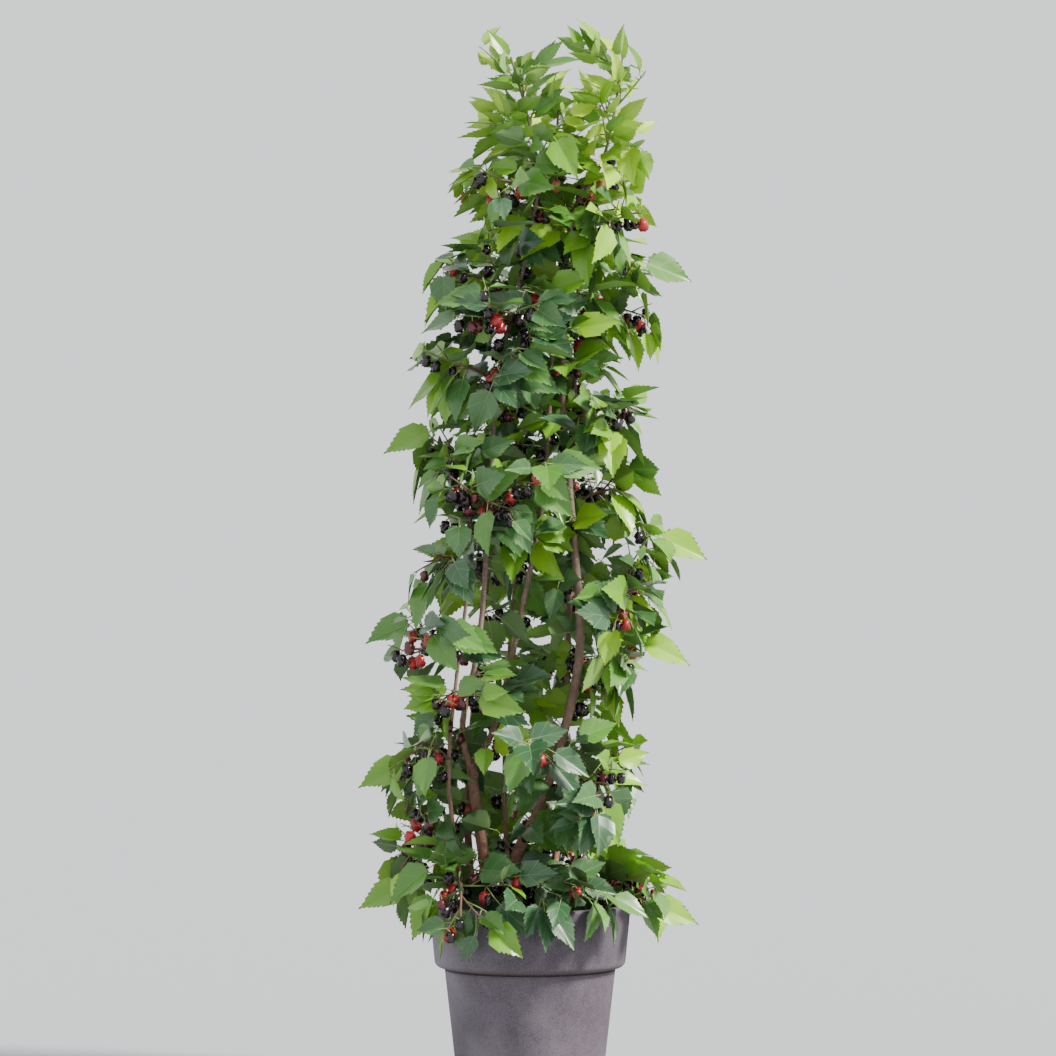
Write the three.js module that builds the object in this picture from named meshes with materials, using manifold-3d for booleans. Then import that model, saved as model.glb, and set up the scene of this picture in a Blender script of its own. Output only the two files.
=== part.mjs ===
// A mulberry bush trained as a tall column, growing in a round clay pot.
//
// Millimetres, +Z up. The origin is the middle of the pot's flat underside, -Y is the front and +X the right.
// The bush has one short trunk that forks into two limbs, and four thinner stems that rise from the soil
// beside it. Its foliage is built as separate masses: four round each tier of the column, and one on the tip
// of each limb. A mass is one shoot with twigs, leaves and berries fused on. It keeps to the space that is
// nearer to a place on its own shoot than to the like place on any other.

import * as THREE from "three";
import { mergeVertices } from "three/addons/utils/BufferGeometryUtils.js";
import Module from "manifold-3d";

const wasm = await Module();
wasm.setup();

// Pot
const POT_HEIGHT = 360;
const BASE_RADIUS = 143;
const BODY_TOP_RADIUS = 169;
const RIM_DEPTH = 124;
const RIM_FOOT_RADIUS = 188;
const RIM_RADIUS = 200;
const RIM_THICKNESS = 23;
const WALL = 16;
const FLOOR = 18;
const EDGE_ROUND = 6;
const POT_SEGMENTS = 24;
const DRAIN_HOLES = 3;
const DRAIN_RADIUS = 8;
const DRAIN_CIRCLE_RADIUS = 62;
const DRAIN_SIDES = 6;

// Soil
const SOIL_HEIGHT = 322;
const GAP = 0.3;

// Limbs
const LIMB_SIDES = 6;
const LIMB_RINGS = 9;
const LIMB_ROOT_SUNK = 6;
const LIMB_FOOT_SUNK = 12;
const TRUNK_HEIGHT = 50;

// Crown
const TIER_NAMES = ["skirt", "low", "lower", "waist", "middle", "upper", "high", "top"];
const LOWEST_TIER = 425;
const TIER_STEP = 184;
const SIDES_SQUARE = ["front", "right", "back", "left"];
const SIDES_DIAGONAL = ["front_right", "back_right", "back_left", "front_left"];
const SPIRAL_RISE = 26;
const SITE_STEP = 75;
const SPACE_MARGIN = 0.4;
const CLEARANCE = 2;
const OWN_CLEARANCE = 1;
const ROUTE_CLEARANCE = 9;
const ROUTE_STEPS = 8;
const BEAD_STEP = 7;
const SEED = 6;
const MASS_SEED_STEP = 1000;
const POT_CLEARANCE = 4;

// Shoots and twigs
const SHOOT_RADIUS = 3.4;
const SHOOT_TIP_RADIUS = 2.4;
const SHOOT_SIDES = 4;
const SHOOT_RINGS = 3;
const SHOOT_NODE_STEP = 34;
const SHOOT_SHORTEST = 95;
const SHOOT_NODE_START = 0.3;
const SIDE_ARCH = { bend: 42, tip: 34 };
const SKIRT_ARCH = { bend: 62, tip: -30 };
const TIP_SHOOT_BEND = 50;
const TWIG_SIDES = 3;
const TWIG_RADIUS = 2.6;
const TWIG_TIP_RADIUS = 2;
const TWIG_LENGTH = 88;
const TWIG_SHORTEST = 42;
const TWIG_NODE_STEP = 36;
const TWIG_NODE_START = 0.4;
const TWIG_TRIES = 16;
const TWIG_END = 0.97;
const TWIG_SIZE = { least: 0.8, spread: 0.45 };
const TWIG_YAW = { least: 0.6, spread: 0.6 };
const TWIG_LIFT = { least: -0.68, spread: 1.7 };
const STEEP_TURN = 1.1;
const NODE_SPREAD = 12;
const GOLDEN_TURN = 2.4;
const LONG_TIP_SHARE = 0.6;
const LONG_TIP_DIP = 0.35;

// Leaves, measured from the twig's middle to the leaf's tip
const LEAF_LENGTH = 124;
const LEAF_WIDTH_SHARE = 0.56;
const LEAF_THICKNESS = 3.2;
const LEAF_WIDEST = 0.54;
const LEAF_FOLD_SHARE = 0.05;
const LEAF_DROOP_SHARE = 0.1;
const LEAF_ROOT_SUNK = 0.6;
const LEAF_STALK_SHARE = 0.1;
const LEAF_TRIES = 30;
const LEAF_SPREAD = 12;
const LEAF_SIZE = { least: 0.86, spread: 0.26 };
const LEAF_YAW = { least: 0.1, spread: 1.5 };
const LEAF_PITCH = { least: 0.15, spread: -1.3 };
const LEAF_ROLL = { least: -0.4, spread: 0.8 };
const LEAF_FACING = 1.2;
const LEAF_REACH_SHARE = 0.6;
const END_LEAF_SIDE = 0.5;
const LEADER_LEAF_FACING = 2;
const YOUNG_LEAF_SIZE = { least: 0.8, spread: 0 };
const YOUNG_LEAF_PITCH = { least: 0.1, spread: 0.8 };
const OUTLINE_MARGIN = 0.1;
const YOUNG_HEIGHT = 1880;

// Berries
const BERRY_RADIUS = 9;
const BERRY_LENGTH = 27;
const BERRY_SEGMENTS = 5;
const BERRY_CHANCE = 0.4;
const BERRY_SHARE = 0.3;
const BERRY_SPREAD = 16;

// The half-width of the crown with its leaf tips, and how far its middle leans to the right, at a few heights.
const CROWN_OUTLINE = [
  { height: 190, reach: 225, lean: -10 },
  { height: 380, reach: 325, lean: -5 },
  { height: 600, reach: 290, lean: -35 },
  { height: 760, reach: 255, lean: -20 },
  { height: 860, reach: 290, lean: -5 },
  { height: 1030, reach: 280, lean: 25 },
  { height: 1200, reach: 250, lean: 5 },
  { height: 1460, reach: 262, lean: 12 },
  { height: 1750, reach: 215, lean: 38 },
  { height: 1920, reach: 205, lean: 52 },
  { height: 2100, reach: 160, lean: 58 },
];

// The tips of the leaves that stand furthest out of the outline.
const LONG_TIPS = [
  [350, -30, 1040],
  [322, 40, 1585],
  [316, -60, 835],
  [331, -50, 318],
  [-290, -30, 1250],
  [-330, 20, 870],
  [-340, -40, 590],
  [-340, -30, 350],
  [40, -325, 1180],
  [10, -330, 640],
  [-30, 322, 960],
  [60, 318, 1420],
  [-40, 330, 500],
];

const COLOURS = {
  clay: { color: "#7d7475", roughness: 0.9 },
  soil: { color: "#3b2a20", roughness: 1 },
  bark: { color: "#6f5344", roughness: 0.85 },
  foliage: { color: "#4f7a35", roughness: 0.6 },
};

const UP = new THREE.Vector3(0, 0, 1);

function point(x, y, z) {
  return new THREE.Vector3(x, y, z);
}

// The same seed always gives the same run of numbers from 0 to 1.
function seededRandom(seed) {
  let state = seed >>> 0;
  return () => {
    state = (state + 0x6d2b79f5) >>> 0;
    let t = Math.imul(state ^ (state >>> 15), state | 1);
    t ^= t + Math.imul(t ^ (t >>> 7), t | 61);
    return ((t ^ (t >>> 14)) >>> 0) / 4294967296;
  };
}

function within(random, { least, spread }) {
  return least + spread * random();
}

function material(name) {
  const { color, roughness } = COLOURS[name];
  return new THREE.MeshStandardMaterial({ color, roughness, metalness: 0 });
}

function solidOf(geometry) {
  const bare = geometry.clone();
  bare.deleteAttribute("normal");
  bare.deleteAttribute("uv");
  const merged = mergeVertices(bare, 1e-4);
  return new wasm.Manifold(
    new wasm.Mesh({
      numProp: 3,
      vertProperties: merged.attributes.position.array,
      triVerts: new Uint32Array(merged.index.array),
    }),
  );
}

function geometryOf(solid) {
  const { numProp, numVert, vertProperties, triVerts } = solid.getMesh();
  const places = new Float32Array(numVert * 3);
  for (let i = 0; i < numVert; i++) {
    places.set(vertProperties.subarray(i * numProp, i * numProp + 3), i * 3);
  }
  const geometry = new THREE.BufferGeometry();
  geometry.setAttribute("position", new THREE.BufferAttribute(places, 3));
  geometry.setIndex(new THREE.BufferAttribute(triVerts, 1));
  geometry.computeVertexNormals();
  return geometry;
}

function largestBody(solid) {
  return solid.decompose().reduce((a, b) => (b.volume() > a.volume() ? b : a));
}

function namedMesh(name, geometry, materialName) {
  const mesh = new THREE.Mesh(geometry, material(materialName));
  mesh.name = name;
  return mesh;
}

// A round body turned about +Z from a profile of [radius, height] pairs.
function turned(profile, segments) {
  const outline = profile.map(([radius, height]) => new THREE.Vector2(radius, height));
  return new THREE.LatheGeometry(outline, segments).rotateX(Math.PI / 2);
}

// The radius of the pot's cavity at a height.
function cavityRadius(height) {
  const rise = (height - FLOOR) / (POT_HEIGHT - FLOOR);
  const atFloor = BASE_RADIUS - WALL;
  const atLip = RIM_RADIUS - RIM_THICKNESS;
  return atFloor + (atLip - atFloor) * rise;
}

function potOuterRadius(height) {
  const rimFoot = POT_HEIGHT - RIM_DEPTH;
  if (height < rimFoot) return BASE_RADIUS + ((BODY_TOP_RADIUS - BASE_RADIUS) * height) / rimFoot;
  return RIM_FOOT_RADIUS + ((RIM_RADIUS - RIM_FOOT_RADIUS) * (height - rimFoot)) / RIM_DEPTH;
}

function pot() {
  const rimFoot = POT_HEIGHT - RIM_DEPTH;
  const profile = [
    [0, 0],
    [BASE_RADIUS - EDGE_ROUND / 2, 0],
    [BASE_RADIUS, EDGE_ROUND / 2],
    [BODY_TOP_RADIUS, rimFoot],
    [RIM_FOOT_RADIUS - EDGE_ROUND, rimFoot],
    [RIM_FOOT_RADIUS, rimFoot + EDGE_ROUND],
    [RIM_RADIUS, POT_HEIGHT - EDGE_ROUND],
    [RIM_RADIUS - EDGE_ROUND, POT_HEIGHT],
    [RIM_RADIUS - RIM_THICKNESS + EDGE_ROUND, POT_HEIGHT],
    [cavityRadius(POT_HEIGHT - EDGE_ROUND), POT_HEIGHT - EDGE_ROUND],
    [cavityRadius(FLOOR), FLOOR],
    [0, FLOOR],
  ];
  let solid = solidOf(turned(profile, POT_SEGMENTS));
  for (let i = 0; i < DRAIN_HOLES; i++) {
    const turn = (i * 2 * Math.PI) / DRAIN_HOLES;
    const hole = new THREE.CylinderGeometry(DRAIN_RADIUS, DRAIN_RADIUS, 3 * FLOOR, DRAIN_SIDES)
      .rotateX(Math.PI / 2)
      .translate(DRAIN_CIRCLE_RADIUS * Math.cos(turn), DRAIN_CIRCLE_RADIUS * Math.sin(turn), FLOOR / 2);
    solid = solid.subtract(solidOf(hole));
  }
  return geometryOf(solid);
}

function soil() {
  const profile = [
    [0, FLOOR + GAP],
    [cavityRadius(FLOOR + GAP) - 2 * GAP, FLOOR + GAP],
    [cavityRadius(SOIL_HEIGHT) - 2 * GAP, SOIL_HEIGHT],
    [0, SOIL_HEIGHT],
  ];
  return turned(profile, POT_SEGMENTS);
}

// A rod along a curve, with flat ends. Its radius is a function of the share of the way along.
function rod(curve, radiusAt, sides, rings) {
  const section = new THREE.Shape();
  for (let i = 0; i < sides; i++) {
    const turn = (i * 2 * Math.PI) / sides;
    section[i ? "lineTo" : "moveTo"](Math.cos(turn), Math.sin(turn));
  }
  const geometry = new THREE.ExtrudeGeometry(section, { depth: 1, steps: rings, bevelEnabled: false });
  const sideways = point(0, 1, 0);
  const frames = [];
  for (let i = 0; i <= rings; i++) {
    const along = curve.getTangent(i / rings);
    const first = sideways.clone().addScaledVector(along, -sideways.dot(along)).normalize();
    frames.push({ centre: curve.getPoint(i / rings), first, second: along.clone().cross(first) });
  }
  const places = geometry.attributes.position;
  for (let i = 0; i < places.count; i++) {
    const ring = Math.round(places.getZ(i) * rings);
    const { centre, first, second } = frames[ring];
    const radius = radiusAt(ring / rings);
    const place = centre
      .clone()
      .addScaledVector(first, places.getX(i) * radius)
      .addScaledVector(second, places.getY(i) * radius);
    places.setXYZ(i, place.x, place.y, place.z);
  }
  return geometry;
}

// A limb is drawn by where its middle runs, from root to tip, and by its radius at each end.
// A flare widens the root of one that stands in the soil.
function limb(name, parent, radius, tipRadius, flare, route) {
  const curve = new THREE.CatmullRomCurve3(route.map(([x, y, z]) => point(x, y, z)), false, "catmullrom", 0.5);
  const radiusAt = (share) =>
    radius + (tipRadius - radius) * share + flare * Math.exp(-share * LIMB_RINGS);
  const stations = [];
  for (let i = 0; i <= LIMB_RINGS; i++) {
    stations.push({ centre: curve.getPoint(i / LIMB_RINGS), radius: radiusAt(i / LIMB_RINGS) });
  }
  return { name, parent, curve, radiusAt, stations };
}

function limbSolid({ curve, radiusAt }, growth) {
  return solidOf(rod(curve, (share) => radiusAt(share) + growth, LIMB_SIDES, LIMB_RINGS));
}

const GROUND = SOIL_HEIGHT + GAP;
const FOOT = GROUND - LIMB_FOOT_SUNK;
const TRUNK_TOP = GROUND + TRUNK_HEIGHT;
const LIMB_FOOT = TRUNK_TOP - LIMB_ROOT_SUNK;
const FORK = 641;
const BOUGH_FOOT = FORK - LIMB_ROOT_SUNK;

const LIMBS = [
  limb("trunk", null, 22, 19, 13, [
    [-75, 6, FOOT],
    [-74, 6, GROUND + TRUNK_HEIGHT / 2],
    [-73, 6, TRUNK_TOP],
  ]),
  limb("left_limb", "trunk", 11.5, 10.5, 0, [
    [-83, 4, LIMB_FOOT],
    [-92, 0, 455],
    [-107, -6, 560],
    [-117, -12, FORK],
  ]),
  limb("right_limb", "trunk", 12, 4, 0, [
    [-62, 8, LIMB_FOOT],
    [-26, 6, 460],
    [30, -2, 580],
    [88, -6, 790],
    [98, 0, 930],
    [79, 12, 1180],
    [64, 18, 1400],
    [80, 12, 1700],
    [139, 4, 1822],
  ]),
  limb("left_bough", "left_limb", 6.4, 3.6, 0, [
    [-121, -14, BOUGH_FOOT],
    [-133, -24, 720],
    [-101, -40, 880],
    [-82, -44, 1110],
    [-62, -38, 1400],
    [4, -26, 1690],
    [14, -24, 1800],
  ]),
  limb("middle_bough", "left_limb", 6.8, 3.8, 0, [
    [-112, -9, BOUGH_FOOT],
    [-66, 2, 725],
    [-16, 8, 945],
    [26, 4, 1175],
    [44, 0, 1480],
    [50, 4, 1790],
  ]),
  limb("left_stem", null, 5.4, 3.2, 3, [
    [-122, -42, FOOT],
    [-150, -56, 500],
    [-158, -66, 680],
    [-114, -80, 1050],
  ]),
  limb("middle_stem", null, 4.8, 3.2, 3, [
    [-38, 46, FOOT],
    [-50, 54, 540],
    [-48, 52, 760],
    [-30, 48, 1000],
  ]),
  limb("back_left_stem", null, 7.4, 3.6, 4, [
    [-112, 68, FOOT],
    [-124, 84, 560],
    [-98, 94, 900],
    [-50, 86, 1250],
    [-30, 74, 1500],
  ]),
  limb("back_right_stem", null, 7.2, 3.6, 4, [
    [34, 66, FOOT],
    [66, 88, 600],
    [80, 94, 1000],
    [88, 84, 1350],
    [96, 76, 1590],
  ]),
];

function limbNamed(name) {
  return LIMBS.find((each) => each.name === name);
}

// The middle of a limb at a height, or nothing where the limb doesn't reach.
function limbMiddle({ stations }, height) {
  for (let i = 1; i < stations.length; i++) {
    const low = stations[i - 1].centre;
    const high = stations[i].centre;
    if (low.z <= height && height <= high.z) {
      return low.clone().lerp(high, (height - low.z) / (high.z - low.z));
    }
  }
  return null;
}

function crownAt(height) {
  const last = CROWN_OUTLINE.length - 1;
  const held = Math.min(Math.max(height, CROWN_OUTLINE[0].height), CROWN_OUTLINE[last].height);
  const i = Math.max(1, CROWN_OUTLINE.findIndex((station) => held <= station.height));
  const low = CROWN_OUTLINE[i - 1];
  const high = CROWN_OUTLINE[i];
  const share = (held - low.height) / (high.height - low.height);
  return {
    reach: low.reach + (high.reach - low.reach) * share,
    middle: point(low.lean + (high.lean - low.lean) * share, 0, height),
  };
}

// Outward from the column, with azimuth 0 at the front and a quarter turn at the right.
function outwardAt(azimuth) {
  return point(Math.sin(azimuth), -Math.cos(azimuth), 0);
}

function distanceToSegment(place, from, to) {
  const along = to.clone().sub(from);
  const share = Math.min(1, Math.max(0, place.clone().sub(from).dot(along) / along.lengthSq()));
  return from.clone().addScaledVector(along, share).distanceTo(place);
}

function distanceToPath(place, path) {
  return Math.min(...path.slice(1).map((next, i) => distanceToSegment(place, path[i], next)));
}

// A limb's girth is taken at its thicker end for each stretch between two stations.
function clearOfLimb({ stations }, place, clearance) {
  return stations.slice(1).every((high, i) => {
    const low = stations[i];
    return distanceToSegment(place, low.centre, high.centre) > low.radius + clearance;
  });
}

// Places strung along a path, close enough that no leaf passes between two of them.
function beadsAlong(path, radiusAt) {
  const beads = [];
  for (let i = 1; i < path.length; i++) {
    const steps = Math.ceil(path[i].distanceTo(path[i - 1]) / BEAD_STEP);
    for (let step = 0; step <= steps; step++) {
      const place = path[i - 1].clone().lerp(path[i], step / steps);
      beads.push({ place, radius: radiusAt((i - 1 + step / steps) / (path.length - 1)) });
    }
  }
  return beads;
}

const LIMB_BEADS = LIMBS.flatMap(({ stations, radiusAt }) =>
  beadsAlong(
    stations.map(({ centre }) => centre),
    radiusAt,
  ),
);

const SHOOTS = [];

// A shoot is a bow from its limb: root, the point that it leans towards, and tip.
function addShoot(name, limbName, steep, leafTip, bow) {
  const curve = new THREE.QuadraticBezierCurve3(...bow);
  const path = curve.getPoints(SHOOT_RINGS);
  const site = path[0].clone().lerp(bow[1], Math.min(1, SITE_STEP / bow[0].distanceTo(bow[1])));
  const beads = beadsAlong(path, () => SHOOT_RADIUS);
  SHOOTS.push({ name, limb: limbName, steep, leafTip, curve, path, site, beads });
}

// The middle of a shoot's rod, which runs straight from ring to ring.
function shootPlace({ path }, share) {
  const ring = Math.min(SHOOT_RINGS - 1, Math.floor(share * SHOOT_RINGS));
  return path[ring].clone().lerp(path[ring + 1], share * SHOOT_RINGS - ring);
}

// The bow of a side shoot, from where its limb stands at the given height to the crown's outline.
function sideBow(root, outward, arch) {
  const { reach, middle } = crownAt(root.z);
  const standOut = root.clone().sub(middle).dot(outward);
  const length = Math.max(SHOOT_SHORTEST, reach - standOut - LEAF_REACH_SHARE * LEAF_LENGTH);
  const bend = root.clone().addScaledVector(outward, 0.5 * length).addScaledVector(UP, arch.bend);
  const tip = root.clone().addScaledVector(outward, length).addScaledVector(UP, arch.tip);
  return [root, bend, tip];
}

function bowIsClear(bow, ownLimb) {
  const places = new THREE.QuadraticBezierCurve3(...bow).getPoints(ROUTE_STEPS).slice(1);
  return places.every((place) => {
    const offLimbs = LIMBS.every((each) => each === ownLimb || clearOfLimb(each, place, ROUTE_CLEARANCE));
    return offLimbs && SHOOTS.every(({ path }) => distanceToPath(place, path) > ROUTE_CLEARANCE);
  });
}

// The shoot of a side mass leaves the limb that lies furthest out on that side and leaves its way clear.
function addSideShoot(name, height, azimuth, arch) {
  const outward = outwardAt(azimuth);
  const free = [];
  for (const each of LIMBS) {
    const root = limbMiddle(each, height);
    if (!root || each.name === "trunk") continue;
    const bow = sideBow(root, outward, arch);
    if (bowIsClear(bow, each)) free.push({ limbName: each.name, bow, standOut: root.dot(outward) });
  }
  const chosen = free.reduce((a, b) => (b.standOut > a.standOut ? b : a));
  addShoot(name, chosen.limbName, false, null, chosen.bow);
}

// The shoot of a tip mass goes straight on from the end of its limb, and bends to its own tip.
// A leader also ends in a leaf with its tip at a set place.
function addTipShoot(name, limbName, tip, leafTip) {
  const { curve } = limbNamed(limbName);
  const along = curve.getTangent(1);
  const root = curve.getPoint(1).addScaledVector(along, GAP);
  const bend = root.clone().addScaledVector(along, TIP_SHOOT_BEND);
  addShoot(name, null, true, leafTip && point(...leafTip), [root, bend, point(...tip)]);
}

addTipShoot("left_leader_foliage", "left_bough", [-38, -30, 2035], [-85, -38, 2089]);
addTipShoot("middle_leader_foliage", "middle_bough", [58, 34, 1975], null);
addTipShoot("right_leader_foliage", "right_limb", [182, -6, 2030], [186, -14, 2091]);
addTipShoot("left_stem_foliage", "left_stem", [-128, -132, 1185], null);
addTipShoot("middle_stem_foliage", "middle_stem", [-10, 64, 1110], null);
addTipShoot("back_left_foliage", "back_left_stem", [-44, 126, 1610], null);
addTipShoot("back_right_foliage", "back_right_stem", [126, 128, 1705], null);
TIER_NAMES.forEach((name, tier) => {
  const height = LOWEST_TIER + tier * TIER_STEP;
  const diagonal = tier % 2;
  const arch = tier === 0 ? SKIRT_ARCH : SIDE_ARCH;
  (diagonal ? SIDES_DIAGONAL : SIDES_SQUARE).forEach((side, i) => {
    const azimuth = ((i + diagonal / 2) * Math.PI) / 2;
    addSideShoot(`${name}_${side}_foliage`, height + SPIRAL_RISE * (i - 1.5), azimuth, arch);
  });
});

// A place is in a mass's space where it is nearer to its own site than to any other, by a margin.
function insideSpace(shoot, place, margin) {
  return SHOOTS.every((other) => {
    if (other === shoot) return true;
    const between = other.site.clone().sub(shoot.site).normalize();
    const middle = shoot.site.clone().add(other.site).multiplyScalar(0.5);
    return place.clone().sub(middle).dot(between) < -margin;
  });
}

function clearOfPot(place) {
  if (place.z > POT_HEIGHT + POT_CLEARANCE) return true;
  const radius = Math.hypot(place.x, place.y);
  const inCavity = place.z > SOIL_HEIGHT + POT_CLEARANCE && radius < cavityRadius(place.z) - POT_CLEARANCE;
  return inCavity || radius > potOuterRadius(place.z) + POT_CLEARANCE;
}

function insideOutline(place) {
  const { reach, middle } = crownAt(place.z);
  return Math.hypot(place.x - middle.x, place.y - middle.y) < reach;
}

// A leaf grows along d, n is the normal of its upper face, and w points to its side.
function leafFrame(direction, facing, roll) {
  const d = direction.clone().normalize();
  const n = facing.clone().addScaledVector(d, -facing.dot(d)).normalize().applyAxisAngle(d, roll);
  return { d, n, w: n.clone().cross(d) };
}

// A place on a leaf: the share of the way along it, and the share of its half-width and half-thickness.
function leafPlace({ root, length, d, n, w }, along, aside, above) {
  const lift = Math.abs(aside) * LEAF_FOLD_SHARE - along * along * LEAF_DROOP_SHARE;
  return root
    .clone()
    .addScaledVector(d, along * length)
    .addScaledVector(w, (aside * LEAF_WIDTH_SHARE * length) / 2)
    .addScaledVector(n, (above * LEAF_THICKNESS) / 2 + lift * length);
}

// The corners of a leaf and places between them, by their share along it and aside.
const LEAF_PLACES = [
  [0.34, 0],
  [0.34, 0.6],
  [0.34, -0.6],
  [LEAF_WIDEST, 0],
  [LEAF_WIDEST, 0.55],
  [LEAF_WIDEST, -0.55],
  [LEAF_WIDEST, 1],
  [LEAF_WIDEST, -1],
  [0.77, 0],
  [0.77, 0.5],
  [0.77, -0.5],
  [1, 0],
];

function bladePlaces(leaf) {
  return LEAF_PLACES.map(([along, aside]) => leafPlace(leaf, along, aside, 0));
}

// Where a place lies over a leaf: its share of the length and of the half-width, and its height over the face.
function overLeaf({ root, length, d, n, w }, place) {
  const from = place.clone().sub(root);
  const along = from.dot(d) / length;
  const aside = (2 * Math.abs(from.dot(w))) / (LEAF_WIDTH_SHARE * length);
  const lift = Math.min(1, aside) * LEAF_FOLD_SHARE - along * along * LEAF_DROOP_SHARE;
  return { along, aside, height: from.dot(n) - lift * length };
}

// The half-width of a leaf's outline at a share of its length, as a share of the widest.
function outlineAt(along) {
  return Math.max(0, Math.min(along / LEAF_WIDEST, (1 - along) / (1 - LEAF_WIDEST)));
}

// Whether a rod's bead comes within a clearance of a leaf, past the share of its length given.
function nearLeaf(leaf, { place, radius }, clearance, pastShare) {
  const distance = radius + clearance + LEAF_THICKNESS / 2;
  const margin = distance / leaf.length;
  const { along, aside, height } = overLeaf(leaf, place);
  const beside = aside < outlineAt(along) + (2 * margin) / LEAF_WIDTH_SHARE;
  return beside && along > pastShare && along < 1 + margin && Math.abs(height) < distance;
}

// Whether a straight line from one place to another goes through a leaf, past its stalk.
function piercesLeaf(leaf, from, to) {
  const start = overLeaf(leaf, from).height;
  const end = overLeaf(leaf, to).height;
  if (start * end >= 0) return false;
  const { along, aside } = overLeaf(leaf, from.clone().lerp(to, start / (start - end)));
  return along > LEAF_STALK_SHARE && along < 1 && aside < outlineAt(along) + OUTLINE_MARGIN;
}

// The lines of a leaf's edge and midrib, from its stalk to its tip.
function leafLines(leaf) {
  const stalk = leafPlace(leaf, LEAF_STALK_SHARE, 0, 0);
  const tip = leafPlace(leaf, 1, 0, 0);
  const across = [-1, 0, 1].map((aside) => leafPlace(leaf, LEAF_WIDEST, aside, 0));
  return across.flatMap((place) => [
    [stalk, place],
    [place, tip],
  ]);
}

function leafFits(shoot, leaf) {
  const margin = SPACE_MARGIN + LEAF_THICKNESS / 2;
  const held = (place) => insideOutline(place) && insideSpace(shoot, place, margin) && clearOfPot(place);
  return (
    leaf.blade.every(held) &&
    !LIMB_BEADS.some((bead) => nearLeaf(leaf, bead, CLEARANCE, 0)) &&
    !SHOOTS.some((other) => other !== shoot && other.beads.some((bead) => nearLeaf(leaf, bead, CLEARANCE, 0)))
  );
}

// Eight faces: an octahedron drawn out into a pointed blade that is folded a little along its midrib.
function leafSolid(leaf) {
  const blade = new THREE.OctahedronGeometry(1, 0);
  const places = blade.attributes.position;
  for (let i = 0; i < places.count; i++) {
    const [x, y, z] = [places.getX(i), places.getY(i), places.getZ(i)].map(Math.round);
    const along = [-LEAF_ROOT_SUNK / leaf.length, LEAF_WIDEST, 1][x + 1];
    const place = leafPlace(leaf, along, y, z);
    places.setXYZ(i, place.x, place.y, place.z);
  }
  return solidOf(blade);
}

// A berry hangs straight down, with its root in the twig.
function berrySolid({ root, turn }) {
  const profile = [
    [0, -BERRY_LENGTH],
    [0.8 * BERRY_RADIUS, -0.8 * BERRY_LENGTH],
    [BERRY_RADIUS, -0.4 * BERRY_LENGTH],
    [0, 0],
  ];
  return solidOf(turned(profile, BERRY_SEGMENTS).rotateZ(turn).translate(root.x, root.y, root.z));
}

function twigSolid({ from, to }) {
  const radiusAt = (share) => TWIG_RADIUS + (TWIG_TIP_RADIUS - TWIG_RADIUS) * share;
  return solidOf(rod(new THREE.LineCurve3(from, to), radiusAt, TWIG_SIDES, 1));
}

function shootSolid({ curve }) {
  const radiusAt = (share) => SHOOT_RADIUS + (SHOOT_TIP_RADIUS - SHOOT_RADIUS) * share;
  return solidOf(rod(curve, radiusAt, SHOOT_SIDES, SHOOT_RINGS));
}

// How a leaf hangs: out from the column and to one side, and down, but up where the shoot's tip is young.
function leafAt(random, root, outward, side, young) {
  const yaw = side * within(random, LEAF_YAW);
  const pitch = within(random, young ? YOUNG_LEAF_PITCH : LEAF_PITCH);
  const length = LEAF_LENGTH * within(random, young ? YOUNG_LEAF_SIZE : LEAF_SIZE);
  const roll = within(random, LEAF_ROLL);
  const flat = outward.clone().applyAxisAngle(UP, yaw);
  const direction = flat.multiplyScalar(Math.cos(pitch)).addScaledVector(UP, Math.sin(pitch));
  const facing = UP.clone().addScaledVector(outward, LEAF_FACING);
  return { root, length, ...leafFrame(direction, facing, roll) };
}

// A twig leaves its shoot to one side, turned part of the way towards above or below.
function twigAt(random, root, along, turn, shortening) {
  const yaw = within(random, TWIG_YAW);
  const lift = within(random, TWIG_LIFT);
  const length = Math.max(TWIG_SHORTEST, TWIG_LENGTH * within(random, TWIG_SIZE) * shortening);
  const level = Math.abs(along.z) < 0.9 ? UP : point(1, 0, 0);
  const aside = along.clone().cross(level).normalize().applyAxisAngle(along, turn + lift);
  const direction = along.clone().multiplyScalar(Math.cos(yaw)).addScaledVector(aside, Math.sin(yaw));
  return { from: root, to: root.clone().addScaledVector(direction, length), length };
}

// Whether a round body stays in its space, and clear of the pot, the limbs and the other shoots.
function isFree(shoot, place, radius) {
  const clearOf = (bead) => bead.place.distanceTo(place) > bead.radius + radius + CLEARANCE;
  return (
    insideSpace(shoot, place, SPACE_MARGIN + radius) &&
    clearOfPot(place) &&
    LIMB_BEADS.every(clearOf) &&
    SHOOTS.every((other) => other === shoot || other.beads.every(clearOf))
  );
}

function twigBeads({ from, to }) {
  return beadsAlong([from, to], () => TWIG_RADIUS);
}

function twigFits(shoot, twig) {
  return twigBeads(twig).every(({ place }) => insideOutline(place) && isFree(shoot, place, TWIG_RADIUS));
}

function wholeLeaf(leaf) {
  return { ...leaf, blade: bladePlaces(leaf), lines: leafLines(leaf) };
}

function leavesCross(leaf, other) {
  return (
    other.lines.some(([from, to]) => piercesLeaf(leaf, from, to)) ||
    leaf.lines.some(([from, to]) => piercesLeaf(other, from, to))
  );
}

function leavesTouch(leaf, other) {
  return other.blade.some((spot) => leaf.blade.some((place) => spot.distanceTo(place) < LEAF_SPREAD));
}

// A leaf stands off the shoot and twigs of its own mass past its stalk, and off the mass's other leaves.
function clearOfOwn(leaf, shoot, { leaves, twigs }) {
  const rods = [shoot, ...twigs];
  return (
    !rods.some(({ beads }) => beads.some((bead) => nearLeaf(leaf, bead, OWN_CLEARANCE, LEAF_STALK_SHARE))) &&
    !leaves.some((other) => leavesCross(leaf, other) || leavesTouch(leaf, other))
  );
}

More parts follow.
